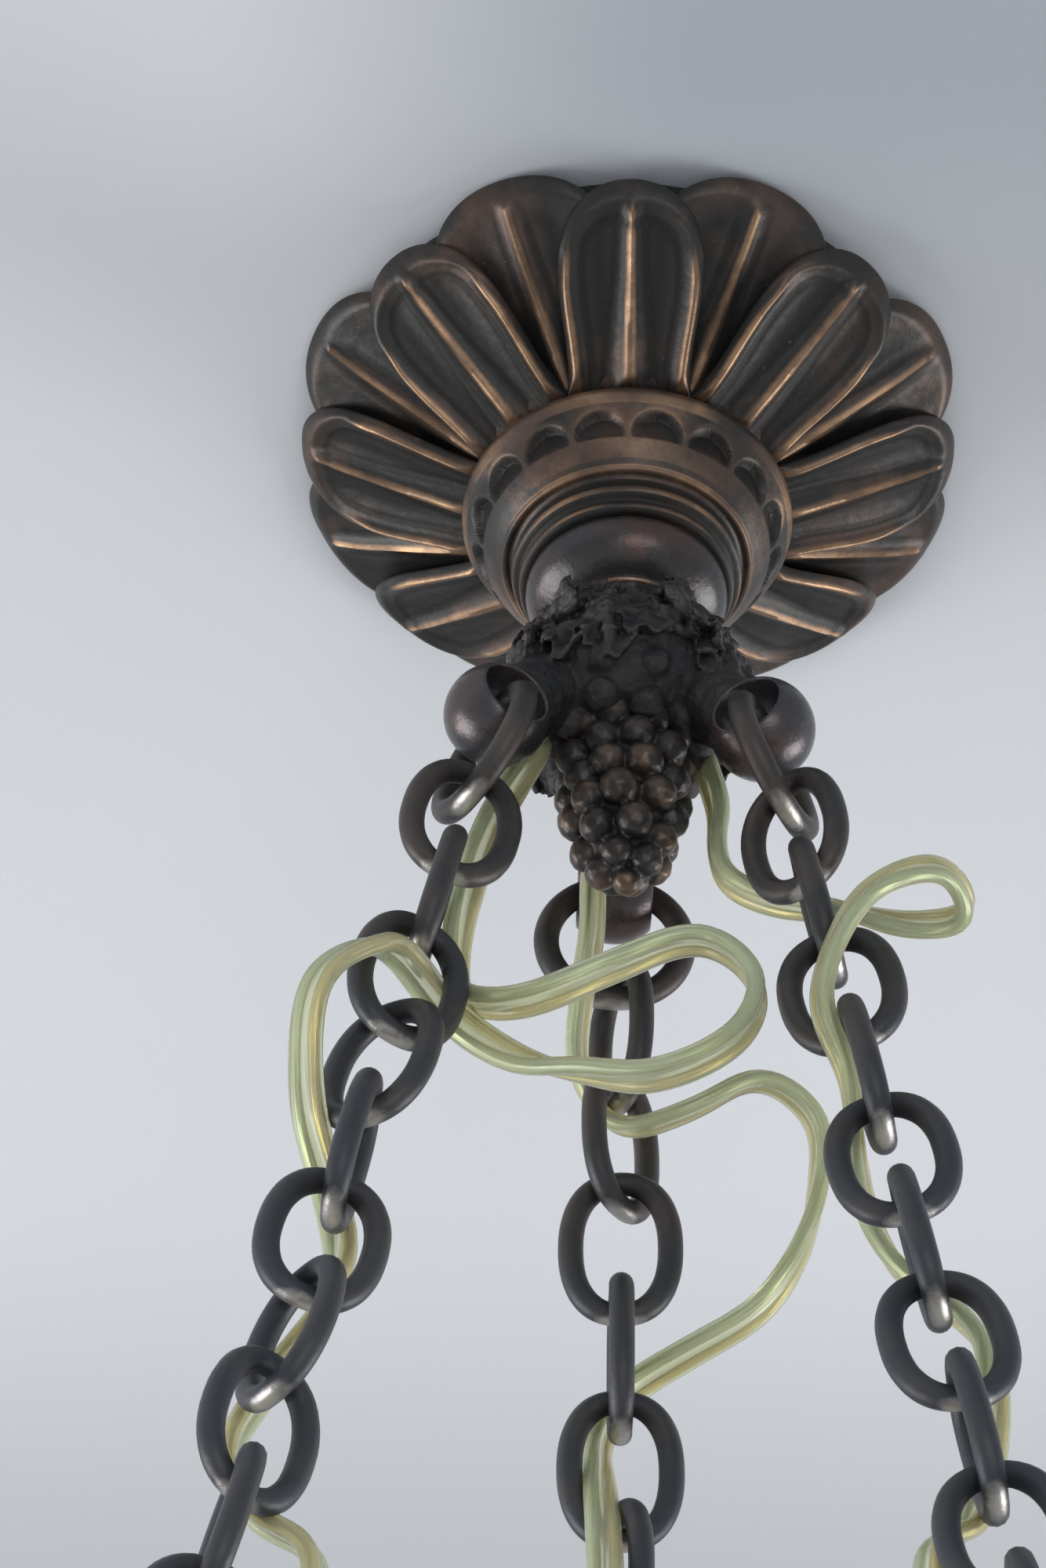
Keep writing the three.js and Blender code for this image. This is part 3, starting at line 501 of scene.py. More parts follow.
hub_top, hub_bottom = -67.3 * mm, -104.3 * mm
ball_circle, ball_level, ball_radius = 30.6 * mm, -113.3 * mm, 10.6 * mm
ball_half_width, ball_bore = 7.5 * mm, 6.9 * mm
sides_at = {"left": math.radians(213), "right": math.radians(333), "rear": math.radians(93)}
leaf_start, leaf_wall = 5 * mm, 1.7 * mm
slant = Vector((0.31, 0.59, 0.74))
dome_points = [(12.2, -67.3), (13.4, -69.2), (16.6, -74), (20.6, -81), (22.2, -88), (22.4, -93)]
dome_points += [(20.4, -99), (15.8, -104.2)]
dome_line = curve_through(in_mm(dome_points), 8)
dome_run = np.concatenate([[0], np.cumsum(np.linalg.norm(np.diff(dome_line, axis=0), axis=1))])


def around(azimuth, radius, height):
    return Vector((radius * math.cos(azimuth), radius * math.sin(azimuth), height))


def dome_outline(run):
    """The dome's radius and height at a run along its outline."""
    return np.array([np.interp(run, dome_run, dome_line[:, axis]) for axis in (0, 1)])


def dome_point(azimuth, run, proud):
    """The point at run along the dome's outline, proud of it, at an azimuth in radians."""
    step = 0.8 * mm
    slope = dome_outline(run + step) - dome_outline(run - step)
    slope /= np.linalg.norm(slope)
    radius, height = dome_outline(run) + np.array((-slope[1], slope[0])) * proud
    return around(azimuth, radius, height)


def leaf_reach(turn):
    """A vine leaf's reach in a direction, 0 along its tip: five toothed lobes."""
    lobes = 0.7 + 0.3 * math.cos(turn * 2.5) ** 2 * (1 if abs(turn) < 2.6 else 0.5)
    teeth = 0.09 * abs(math.sin(turn * 9.5)) + 0.04 * math.sin(turn * 23)
    return lobes + teeth - 0.12 * (abs(turn) / math.pi) ** 2


def leaf_on_dome(bm, azimuth, stalk, size, tilt, lift):
    """A vine leaf laid on the dome, its stalk at a run along the outline."""

    def place(along, across):
        turn = (across * 2 - 1) * math.pi
        share = 1 - abs(2 * along - 1)
        reach = share * leaf_reach(turn) * size
        down, aside = reach * math.cos(turn), reach * math.sin(turn)
        run = min(max(stalk + down, leaf_start), dome_run[-1] + 2 * mm)
        width = float(dome_outline(run)[0])
        vein = swell(math.sin(turn * 2.5) * share * 5, 1) * (1 - share * 0.5)
        fold = 1.5 * mm * math.sin(share * math.pi) * (1 - vein)
        ruffle = 0.9 * mm * share * math.sin(turn * 9.5 + 1)
        proud = 1.5 * mm + lift * share**2 - fold + ruffle + 0.8 * mm * vein
        proud *= 0.2 + 0.8 * fade(run, leaf_start, 13 * mm)
        if along > 0.5:
            proud -= leaf_wall
        return dome_point(azimuth + tilt + aside / width, run, proud)

    mapped(bm, 34, 76, place, 1e-5)


def reshaped(holder):
    """A bmesh of an object as its modifiers leave it, in place of the object."""
    seen = holder.evaluated_get(bpy.context.evaluated_depsgraph_get())
    made = bmesh.new()
    made.from_mesh(bpy.data.meshes.new_from_object(seen))
    bpy.data.objects.remove(holder)
    return made


def fused(bm, voxel):
    """The shapes of a bmesh melted into one skin, as in a casting, alike at every run."""
    bm.verts.sort(key=lambda vert: vert.co.dot(slant))
    bm.faces.sort(key=lambda face: face.calc_center_median().dot(slant))
    rough = linked("rough", mesh_of("rough", bm))
    melt = rough.modifiers.new("melt", "REMESH")
    melt.mode, melt.voxel_size = "VOXEL", voxel
    rough.modifiers.new("ease", "SMOOTH").iterations = 2
    return reshaped(rough)


def berry(bm, azimuth, level, circle, radius):
    spot = around(azimuth, circle, level)
    where = Matrix.Translation(spot) @ Matrix.Rotation(azimuth * 5, 4, "X")
    bmesh.ops.create_icosphere(bm, subdivisions=2, radius=radius, matrix=where)


hub_bm = bmesh.new()
skirt = [(float(radius), float(height)) for radius, height in dome_line]
turned(hub_bm, [(7 * mm, hub_top)] + skirt + [(7 * mm, hub_bottom), (7 * mm, hub_top)], 90)
for number in range(3):
    between = math.radians(273 + 120 * number)
    leaf_on_dome(hub_bm, between, 13 * mm, 17 * mm, 0.1, 1.8 * mm)
    leaf_on_dome(hub_bm, between - 0.75, 15 * mm, 13 * mm, 0, 1.2 * mm)
    leaf_on_dome(hub_bm, between + 0.7, 17 * mm, 13 * mm, 0, 1.5 * mm)
    leaf_on_dome(hub_bm, between, 23 * mm, 12 * mm, -0.2, 0.9 * mm)
    leaf_on_dome(hub_bm, between + 0.45, 21 * mm, 12 * mm, 0.3, 1.4 * mm)
    leaf_on_dome(hub_bm, between - 0.4, 22 * mm, 11 * mm, -0.3, 1.2 * mm)
for azimuth in sides_at.values():
    leaf_on_dome(hub_bm, azimuth, 17 * mm, 16 * mm, -0.1, 4.2 * mm)
    root = around(azimuth, 14 * mm, -92 * mm)
    tip = around(azimuth, 26 * mm, ball_level + 5 * mm)
    lie = (tip - root).to_track_quat("Z", "Y").to_matrix().to_4x4()
    shape = {"segments": 20, "radius1": 9 * mm, "radius2": 7 * mm, "depth": (tip - root).length}
    place = Matrix.Translation((root + tip) / 2) @ lie
    bmesh.ops.create_cone(hub_bm, cap_ends=True, matrix=place, **shape)
for level, circle, count, first, size in (
    (-92, 20, 14, 0.1, 3.5),
    (-98, 18.4, 12, 0.3, 3.8),
    (-103.6, 14.2, 10, 0.0, 3.9),
):
    for number in range(count):
        angle = first + 2 * math.pi * number / count
        sunk = noise.noise(Vector((angle * 3, level, 0))) * 1.3
        berry(hub_bm, angle, (level + sunk) * mm, (circle + sunk) * mm, size * mm)
hub_bm = fused(hub_bm, 0.45 * mm)
for vert in hub_bm.verts:
    pit = noise.turbulence(vert.co * 230, 3, False)
    crumple = noise.noise(vert.co * 130)
    height = (0.42 - pit) * 0.8 + crumple * 0.6
    vert.co += vert.normal * height * mm * (1 if vert.co.z > -95 * mm else 0.55)

# Black lacquer gone rough over cast bronze, glossy on the leaves' high folds.
w = material("black_casting")
wear = w.attribute("wear")
crust = w.noise(330.0, 7.0, 0.7)
cloud = w.noise(70.0, 4.0).between(0.4, 0.68)
ridge = (wear + 0.16 * (crust - 0.5)).between(0.06, 0.36)
hollow = (0 - wear + 0.1 * (crust - 0.5)).between(0.02, 0.2)
dust = w.noise(800.0, 2.0).between(0.66, 0.8)
upper = w.axis("Z").between(-0.094, -0.078)
skin = cloud.mix((0.021, 0.021, 0.022), (0.045, 0.04, 0.038))
skin = (ridge * 0.5).mix(skin, (0.12, 0.105, 0.095))
skin = (hollow * 0.8).mix(skin, (0.006, 0.006, 0.007))
skin = (dust * 0.3).mix(skin, (0.26, 0.25, 0.24))
black = w.surface(
    Base_Color=skin,
    Metallic=0.2 + 0.2 * ridge,
    Roughness=0.52 - 0.22 * upper + 0.25 * (crust - 0.5) + 0.15 * hollow,
    Normal=w.bump(crust + 0.5 * w.noise(1100.0, 2.0), 0.3 * mm),
)
piece("hub", hub_bm, "ceiling_fitting", black, ["hub_casting"], 60, 1.8 * mm)

ball_line = [(ball_bore, 0), (ball_bore, -6.7 * mm), (ball_bore + 0.12 * mm, -7.3 * mm)]
flat_radius = math.sqrt(ball_radius**2 - ball_half_width**2)
ball_line.append((flat_radius - 0.25 * mm, -ball_half_width))
arc = math.atan2(ball_half_width, flat_radius)
arc_angles = [arc * (2 * step / 26 - 1) for step in range(27)]
ball_line += [(ball_radius * math.cos(a), ball_radius * math.sin(a)) for a in arc_angles]
ball_line += [(radius, -height) for radius, height in reversed(ball_line[:4])]
ball_bronze = patina_finish(
    "ball_bronze", (0.075, 0.074, 0.08), (0.115, 0.078, 0.07), (0.3, 0.27, 0.26), 0.27
)
ball_bm = bmesh.new()
for azimuth in sides_at.values():
    centre = around(azimuth, ball_circle, ball_level)
    lie = Matrix.Rotation(azimuth, 4, "Z") @ Matrix.Rotation(math.pi / 2, 4, "X")
    turned(ball_bm, ball_line, 64, Matrix.Translation(centre) @ lie)
piece("hub_balls", ball_bm, "ceiling_fitting", ball_bronze, ["hub_casting"], 50)


# Grape finial: a bunch of round berries cast on a tapering core, screwed on the stem's end,
# dark in the gaps, rubbed brown on the berries and more so below as a painted highlight.

berry_rows = [(-104.4, 10.6, 9, -10, 3.9), (-111.2, 10.6, 9, -29, 4), (-118.6, 10.4, 9, -17, 4)]
berry_rows += [(-126, 9.6, 8, -49, 4), (-133.2, 7.6, 6, -46, 3.9), (-139, 4.4, 4, -20, 3.5)]
core_line = [(0, -104.6), (9.4, -104.6), (9.8, -108), (9.8, -116), (9.2, -124), (7.4, -132)]
core_line += [(4.4, -138.5), (0, -141.5)]
grape_bm = bmesh.new()
turned(grape_bm, in_mm(core_line), 28)
for level, circle, count, first, size in berry_rows:
    for number in range(count):
        azimuth = math.radians(270 + first + 360 * number / count)
        shift = noise.noise_vector(around(azimuth, 1, level * 0.3) * 4)
        grown = size * (1 + 0.09 * shift.x)
        place = (azimuth + 0.1 * shift.y, (level + 0.9 * shift.z) * mm, (circle + 0.5 * shift.x) * mm)
        berry(grape_bm, *place, grown * mm)
berry(grape_bm, 0.6, -143.2 * mm, 0.6 * mm, 3.1 * mm)
grape_bm = fused(grape_bm, 0.42 * mm)
for vert in grape_bm.verts:
    dent = noise.noise(vert.co * 150) * 0.35 + noise.noise(vert.co * 420) * 0.12
    vert.co += vert.normal * dent * mm

# Black patina over bronze, rubbed to brown metal on high points, more on the lower berries as painted
# highlight.
w = material("grape_patina")
wear = w.attribute("wear")
cloud = w.noise(85.0, 4.0).between(0.42, 0.62)
speck = w.noise(600.0, 5.0, 0.65)
# Painted highlight: a mask that grows towards the lower berries, giving them more of the rubbed copper.
lower_painted_highlight = w.axis("Z").between(-0.108, -0.124)
ridge = (wear + 0.08 * (speck - 0.5)).between(0.1, 0.3)
hollow = (0 - wear).between(0.02, 0.3)
skin = cloud.mix((0.03, 0.029, 0.03), (0.062, 0.047, 0.04))
skin = (ridge * (0.15 + 0.6 * lower_painted_highlight * cloud)).mix(skin, (0.3, 0.19, 0.12))
skin = (hollow * 0.85).mix(skin, (0.008, 0.008, 0.008))
grape_skin = w.surface(
    Base_Color=skin,
    Metallic=0.35 + 0.35 * ridge * lower_painted_highlight,
    Roughness=0.44 + 0.25 * (speck - 0.5) - 0.12 * lower_painted_highlight + 0.2 * hollow,
    Normal=w.bump(speck + w.noise(220.0, 2.0), 0.14 * mm),
)
piece("grapes", grape_bm, "ceiling_fitting", grape_skin, ["grape_finial"], 60, 2.4 * mm)


# Chains: each a large welded ring through its ball and oval links of round wire, blued and
# oiled dark, rubbed bright where one bears on the next.

ring_wire, ring_outer = 5.2 * mm, 33 * mm
link_wire, link_width, link_length, fullness = 5 * mm, 24.5 * mm, 35.5 * mm, 2.3
link_count, last_single = 25, 8
link_turns = {
    "left": [0, 100, 20, 92, 150, 28, 105, 172, 80, 15, 105],
    "right": [0, 104, 164, 80, 162, 74, 164, 64, 160, 70],
    "rear": [0, 68, 126, 184, 272, 360, 430],
}


def middle(node):
    """The middle of a symmetrical solid of the frame."""
    return Vector(read(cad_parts[node].data.vertices, "co").mean(axis=0))


def turn_of(side, number):
    """A link's turn about its chain in degrees: as seen first, then by even steps."""
    turns = link_turns[side]
    if number <= len(turns):
        return turns[number - 1]
    steps = link_count - len(turns)
    total = round((turns[-1] + 90 * steps) / 180) * 180 - turns[-1]
    return turns[-1] + total / steps * (number - len(turns))


def oval_wire(bm, half_width, half_length, power, wire, steps, sides, where):
    """A closed oval of round wire, its length along -Z and its width along X."""
    rub = bm.verts.layers.float.get("rub") or bm.verts.layers.float.new("rub")

    def place(along, across):
        angle = 2 * math.pi * along
        bend = [math.copysign(abs(v) ** (2 / power), v) for v in (math.cos(angle), math.sin(angle))]
        outward = Vector((
            abs(bend[0]) ** (power - 1) * math.copysign(1, bend[0]) / half_width,
            0,
            abs(bend[1]) ** (power - 1) * math.copysign(1, bend[1]) / half_length,
        )).normalized()
        round_wire = 2 * math.pi * across
        out, aside = math.cos(round_wire) * wire / 2, math.sin(round_wire) * wire / 2
        spot = Vector((bend[0] * half_width, 0, bend[1] * half_length))
        worn = 1 - 0.07 * abs(math.sin(angle)) ** 8
        return where @ (spot + outward * out * worn + Vector((0, aside * worn, 0)))

    back = where.inverted()
    for vert in mapped(bm, steps, sides, place, 1e-6):
        end = abs((back @ vert.co).z) / (half_length + wire / 2)
        vert[rub] = max(0, 1 - (1 - end) * 5)


# Dark blued iron: brown and grey clouds, a painted bluish sheen lower down, and metal where the links
# rub.
w = material("blued_chain")
rub = w.attribute("rub")
cloud = w.noise(60.0, 4.0).between(0.42, 0.62)
speck = w.noise(700.0, 5.0, 0.7)
# Painted sheen: the links turn bluer and greyer towards the bottom and browner near the top.
depth = w.axis("Z").between(-0.13, -0.3)
dark = depth.mix((0.055, 0.053, 0.053), (0.062, 0.068, 0.08))
brown = depth.mix((0.095, 0.076, 0.067), (0.08, 0.078, 0.08))
skin = (cloud * 0.8).mix(dark, brown)
bright = (rub + 0.3 * (speck - 0.5)).between(0.55, 0.95)
skin = (bright * 0.85).mix(skin, (0.6, 0.57, 0.54))
chain_iron = w.surface(
    Base_Color=skin,
    Metallic=0.5 + 0.35 * bright,
    Roughness=0.46 + 0.2 * (speck - 0.5) - 0.16 * bright,
    Normal=w.bump(speck + 0.5 * w.noise(240.0, 2.0), 0.12 * mm),
)
link_reach = link_length - link_wire
for side, azimuth in sides_at.items():
    second, eighth = middle(f"chain_{side}_link_2"), middle(f"chain_{side}_link_{last_single}")
    down = (eighth - second).normalized()
    pitch = (eighth - second).length / (last_single - 2)
    sideways = Vector((-math.sin(azimuth), math.cos(azimuth), 0))
    sideways = (sideways - down * sideways.dot(down)).normalized()

    def standing(centre, turn):
        width = Quaternion(down, math.radians(turn)) @ sideways
        axes = Matrix((width, (-down).cross(width), -down)).transposed()
        return Matrix.Translation(centre) @ axes.to_4x4()

    def hang(name, bm, part):
        piece(name, bm, f"chain_{side}", chain_iron, [f"chain_{side}_{part}"])

    ring_half = (ring_outer - ring_wire) / 2
    where = standing(middle(f"chain_{side}_ring"), 0)
    ring = bmesh.new()
    oval_wire(ring, ring_half, ring_half, 2, ring_wire, 72, 20, where)
    hang(f"ring_{side}", ring, "ring")
    half_width = (link_width - link_wire) / 2
    run = bmesh.new()
    for number in range(2, link_count + 1):
        where = standing(second + down * pitch * (number - 2), turn_of(side, number))
        single = number <= last_single
        link = bmesh.new() if single else run
        steps, sides = (64, 18) if single else (44, 12)
        oval_wire(link, half_width, link_reach / 2, fullness, link_wire, steps, sides, where)
        if single:
            hang(f"link_{side}_{number}", link, f"link_{number}")
    hang(f"run_{side}", run, "run")


# Cords: three clear flat twin leads, 7 by 3.5 mm, one copper and one tinned conductor in a
# soft clear jacket. Each leaves the hub, loops about its chain and runs down beside it.

cord_width, cord_thickness, conductor = 7 * mm, 3.5 * mm, 1.7 * mm
strand_count, strand_twist, handover_length = 7, 0.12, 130 * mm
cord_step, turn_window, first_pull = 2 * mm, 31, 0.002
cord_routes = {
    "left": [
        (-15, -4, -92), (-15.8, -3.5, -102.9), (-22.5, -3.3, -119.9), (-26.4, -8, -137.3),
        (-30.1, -9.2, -155.4), (-32.1, -9.5, -173.7), (-29.9, -13.3, -191.3),
        (-18.5, -22.3, -202.1), (-2.3, -25.1, -195.4), (14, -26.9, -189.1),
        (24.6, -29.3, -202.6), (20.8, -31.1, -220.3), (6.3, -29, -228.4), (-7.6, -21.5, -219.6),
        (-19.5, -14.2, -209.4), (-32.5, -12.9, -196.4), (-41.7, -27, -194.6),
        (-47.1, -37.2, -203.3), (-56.3, -40.4, -216.5), (-57.5, -27.5, -234.2),
        (-52.9, -14.4, -246.1), (-50.3, -15.6, -263.9), (-53.6, -19, -281.6),
        (-61.2, -20.3, -298.2), (-67.2, -21.6, -315.6), (-62.1, -24.3, -332.5),
        (-50.8, -29.1, -346.3), (-59.1, -26.5, -384.5), (-65.5, -31.6, -423.2),
        (-67.5, -42, -461.7), (-78.7, -38.1, -499.9), (-85.4, -41.5, -538.8),
        (-87.2, -51.9, -577.4), (-97.2, -50, -616.1), (-105.9, -51.1, -655.1),
        (-109.7, -57.1, -694.5), (-101.5, -54, -732.4), (-69.2, -36.8, -745.6),
        (-33.8, -18, -745.1), (-17.9, -9.5, -744.8),
    ],
    "right": [
        (15.3, 2.2, -92), (15.8, 2.6, -103), (18.9, 3.3, -117.6), (18.5, 0.8, -132.1),
        (20.8, -2.5, -146.1), (30.3, -6.1, -156.2), (43.1, -9.9, -162.2), (54.6, -14, -170.3),
        (65.3, -21.8, -175.8), (60.1, -33.2, -175.4), (47.2, -35.3, -182.8),
        (39.7, -33.8, -196.1), (36.5, -30.3, -210.6), (41.7, -24.2, -223),
        (42.7, -18.1, -236.2), (44.8, -15.7, -250.5), (50.7, -15, -264.1),
        (59.7, -17.3, -275.7), (64.8, -21.3, -288.9), (64.7, -22.3, -303.6),
        (63, -20.4, -318.2), (59.9, -23.2, -332.2), (52.7, -30.3, -343.1),
        (54.4, -31.6, -381.2), (62.9, -33.7, -420), (64.4, -47, -458.1), (74.1, -44.4, -497),
        (81.1, -46.9, -536.3), (83.5, -58.5, -574.9), (92.2, -58.1, -614.3),
        (100.1, -59.8, -653.8), (104.2, -66.4, -693.4), (98, -61.2, -731.9),
        (66.8, -41.7, -745.6), (32.5, -20.3, -745.1), (17.2, -10.8, -744.8),
    ],
    "rear": [
        (-3.2, 15.2, -92), (-3, 15.6, -103), (-5.9, 19.3, -119.9), (-6.1, 23.5, -133.7),
        (-8.2, 30.4, -146.6), (-8.2, 37.5, -159.6), (0, 41, -171), (14.2, 35.9, -170.7),
        (27.6, 34.8, -162.9), (38.8, 41.5, -167.2), (39.2, 47, -181), (35.5, 50.1, -195.3),
        (27.5, 54.2, -207.5), (14.7, 60.5, -212.7), (2, 66.4, -218.5), (-3.3, 65.2, -232.3),
        (-3.3, 58.9, -246.4), (-2.6, 53.5, -260.8), (-1.9, 51.1, -276), (0.1, 50.3, -315.2),
        (7.1, 59, -353.1), (-0.8, 66, -391.1), (2.1, 73.5, -429.1), (9, 81, -466.9),
        (0.2, 87.8, -504.7), (2.2, 95.2, -543), (9.5, 102.7, -580.8), (4.4, 109.7, -619.3),
        (3, 117.5, -657.8), (5.5, 123.9, -696.5), (3.9, 114, -733.4), (2.7, 77.7, -745.6),
        (1.3, 38.3, -745.1), (0.7, 20.3, -744.8),
    ],
}


def eased(values, width):
    """Values smoothed by a bell of an odd width, with the ends held."""
    window = np.hanning(width) / np.hanning(width).sum()
    return np.convolve(np.pad(values, width // 2, "edge"), window, "valid")


def cord_frames(route):
    """Even steps along a route, with the way across the flat cord and through it."""
    line = curve_through(np.array(route) * mm, 16)
    run = np.concatenate([[0], np.cumsum(np.linalg.norm(np.diff(line, axis=0), axis=1))])
    steps = int(run[-1] / cord_step)
    even = np.linspace(0, run[-1], steps + 1)
    line = np.stack([np.interp(even, run, line[:, axis]) for axis in range(3)], axis=1)
    line = np.stack([eased(line[:, axis], 9) for axis in range(3)], axis=1)
    ahead = np.gradient(line, axis=0)
    ahead /= np.linalg.norm(ahead, axis=1)[:, None]
    bend = np.gradient(ahead, axis=0)
    thin = [np.cross(ahead[0], (0, 0.2, 1.0))]
    for direction in ahead:
        kept = thin[-1] - direction * (thin[-1] @ direction)
        thin.append(kept / np.linalg.norm(kept))
    thin = np.array(thin[1:])
    wide = np.cross(ahead, thin)
    lean = (bend * thin).sum(1) + 1j * (bend * wide).sum(1)
    pull = lean**2
    side = turn_window // 2
    pull = np.concatenate([[first_pull] * side, pull, [pull[-1]] * side])
    pull = np.convolve(pull, np.hanning(turn_window), "valid")
    turn = eased(np.unwrap(np.angle(pull)) / 2, turn_window)
    cos, sin = np.cos(turn)[:, None], np.sin(turn)[:, None]
    return line, cos * wide - sin * thin, cos * thin + sin * wide


def swept(bm, line, wide, thin, sides, section):
    """A capped tube whose section(share) gives its width and thickness offsets."""
    last = len(line) - 1

    def place(along, across):
        step = min(last, round(along * last))
        aside, up = section(2 * math.pi * across)
        return Vector(line[step] + wide[step] * aside + thin[step] * up)

    made = mapped(bm, last, sides, place, 1e-7)
    rims = dict.fromkeys(edge for vert in made for edge in vert.link_edges if edge.is_boundary)
    bmesh.ops.holes_fill(bm, edges=list(rims))
    bmesh.ops.recalc_face_normals(bm, faces=faces_of(made))


def round_section(radius):
    return lambda turn: (radius * math.cos(turn), radius * math.sin(turn))


def twin_section(turn):
    """The outline of a flat twin jacket: two round lobes joined by a thinner web."""
    lobe = cord_thickness / 2
    aside = math.cos(turn) * cord_width / 2
    off = min(1.0, abs(abs(aside) - (cord_width / 2 - lobe)) / lobe)
    high = lobe * math.sqrt(1 - off**2)
    if abs(aside) < cord_width / 2 - lobe:
        high = max(high, 1.15 * mm)
    return aside, math.copysign(high, math.sin(turn)) * (abs(math.sin(turn)) > 1e-6)


w = material("clear_jacket")
cloud = w.noise(60.0).between(0.35, 0.7)
jacket = w.surface(
    Base_Color=cloud.mix((0.9, 0.93, 0.7), (0.87, 0.89, 0.6)),
    Roughness=0.24,
    IOR=1.38,
    Transmission_Weight=0.7,
    Normal=w.bump(w.noise(150.0, 2.0), 0.1 * mm),
)


def strand_finish(name, colour, dark):
    w = material(name)
    strand = w.attribute("strand")
    groove = w.calc("PINGPONG", strand, 0.5) * 2
    return w.surface(
        Base_Color=(groove.between(0.0, 0.7) * 0.9).mix(dark, colour),
        Metallic=0.85,
        Roughness=0.34,
        Normal=w.bump(groove, 0.05 * mm),
    )


copper = strand_finish("copper_strands", (0.98, 0.82, 0.42), (0.8, 0.58, 0.22))
tinned = strand_finish("tinned_strands", (0.74, 0.8, 0.6), (0.52, 0.6, 0.4))
for side, route in cord_routes.items():
    line, wide, thin = cord_frames(route)
    for name, offset, finish in (("copper", -1, copper), ("tinned", 1, tinned)):
        wire_bm = bmesh.new()
        centre = line + wide * offset * (cord_width - cord_thickness) / 2
        swept(wire_bm, centre, wide, thin, 12, round_section(conductor / 2))
        made = piece(f"{name}_{side}", wire_bm, None, finish)
        lay = []
        for spot in read(made.data.vertices, "co"):
            step = int(np.argmin(np.linalg.norm(centre - spot, axis=1)))
            aside = spot - centre[step]
            turn = math.atan2(aside @ thin[step], aside @ wide[step])
            lay.append(turn / (2 * math.pi) * strand_count + step * strand_twist)
        mark_points(made.data, "strand", lay)
        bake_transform(made)
    cord_bm = bmesh.new()
    swept(cord_bm, line, wide, thin, 28, twin_section)
    cord = piece(f"cord_clear_{side}", cord_bm, None, jacket, [f"cord_{side}"], 70)
    [tuple(point) for point in line]
    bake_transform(cord)


# Terminal lead: a short round clear lead out of the stem's window, bent up to the terminal
# block.

lead_points = [(7.1, 0, -13), (8.6, 0, -13), (10.2, 0, -12.6), (11.9, 0, -12.3), (13.4, 0, -12.3)]
lead_line = curve_through(lead_points, 8) * mm
lead_ahead = np.gradient(lead_line, axis=0)
lead_ahead /= np.linalg.norm(lead_ahead, axis=1)[:, None]
lead_wide = np.tile((0.0, 1.0, 0.0), (len(lead_line), 1))
lead_thin = np.cross(lead_ahead, lead_wide)
lead_bm = bmesh.new()
swept(lead_bm, lead_line, lead_wide, lead_thin, 20, round_section(1.8 * mm))
piece("lead", lead_bm, "ceiling_fitting", jacket, ["terminal_lead"], 70)


# Alabaster bowl: turned from one block of veined alabaster and polished, a round dish below
# an upright band with turned grooves, pierced for the three bolts.

bowl_rim, hook_level, arm_top = -716.76 * mm, -734.76 * mm, -749.76 * mm
bowl_radius, bowl_inside = 174.7 * mm, 166 * mm
band, dish, dish_inside = 38 * mm, 90 * mm, 81 * mm
hook_angles = {"left": 208, "right": 328, "rear": 88}
bolt_hole, hole_middle, hole_length = 3.6 * mm, 170 * mm, 30 * mm


def laid_out(angle, level):
    """Turns a shape drawn along +Z at the middle to lie outwards at an angle."""
    lie = Matrix.Rotation(math.radians(angle), 4, "Z") @ Matrix.Rotation(math.pi / 2, 4, "Y")
    return Matrix.Translation((0, 0, level)) @ lie


def cut_out(bm, cutter):
    """The bmesh with the volume of another one taken out of it."""
    whole = linked("whole", mesh_of("whole", bm))
    knife = linked("knife", mesh_of("knife", cutter))
    cut = whole.modifiers.new("cut", "BOOLEAN")
    cut.operation, cut.solver, cut.object = "DIFFERENCE", "EXACT", knife
    made = reshaped(whole)
    bpy.data.objects.remove(knife)
    return made


# Creamy alabaster with cloudy bands, amber veins and fine grey hair veins.
w = material("veined_alabaster")
warp = w.node("TexNoise", {}, {"Vector": w.place(), "Scale": 5.0, "Detail": 3.0}, "Color")
shift = w.node("VectorMath", {"operation": "SCALE"}, {0: warp, "Scale": 0.35})
bent = w.node("VectorMath", {"operation": "ADD"}, {0: w.place(), 1: shift})
patch = w.noise(7.0, 2.0).between(0.45, 0.6)
cloud = w.noise(6.0, 6.0, 0.6, bent).between(0.38, 0.66)
run = w.noise(9.0, 7.0, 0.62, bent)
vein = w.calc("ABSOLUTE", run - 0.5).between(0.016, 0.0)
hair = w.noise(13.0, 4.0, 0.55, bent)
fine = w.calc("ABSOLUTE", hair - 0.48).between(0.009, 0.0)
stone = cloud.mix((0.83, 0.79, 0.69), (0.72, 0.62, 0.46))
stone = (vein * patch * 0.65).mix(stone, (0.48, 0.31, 0.16))
stone = (fine * 0.45).mix(stone, (0.3, 0.26, 0.21))
pit = w.noise(700.0, 4.0)
alabaster = w.surface(
    Base_Color=stone,
    Subsurface_Weight=0.35,
    Subsurface_Radius=(0.012, 0.008, 0.005),
    Subsurface_Scale=1.0,
    Roughness=0.2 + 0.14 * cloud + 0.1 * vein,
    Coat_Weight=0.25,
    Normal=w.bump(pit + 1.5 * vein, 0.05 * mm),
)
dish_angles = [math.pi / 2 * step / 40 for step in range(41)]


def dish_curve(radius, deep, angles):
    return [(radius * math.sin(a), bowl_rim - band - deep * math.cos(a)) for a in angles]


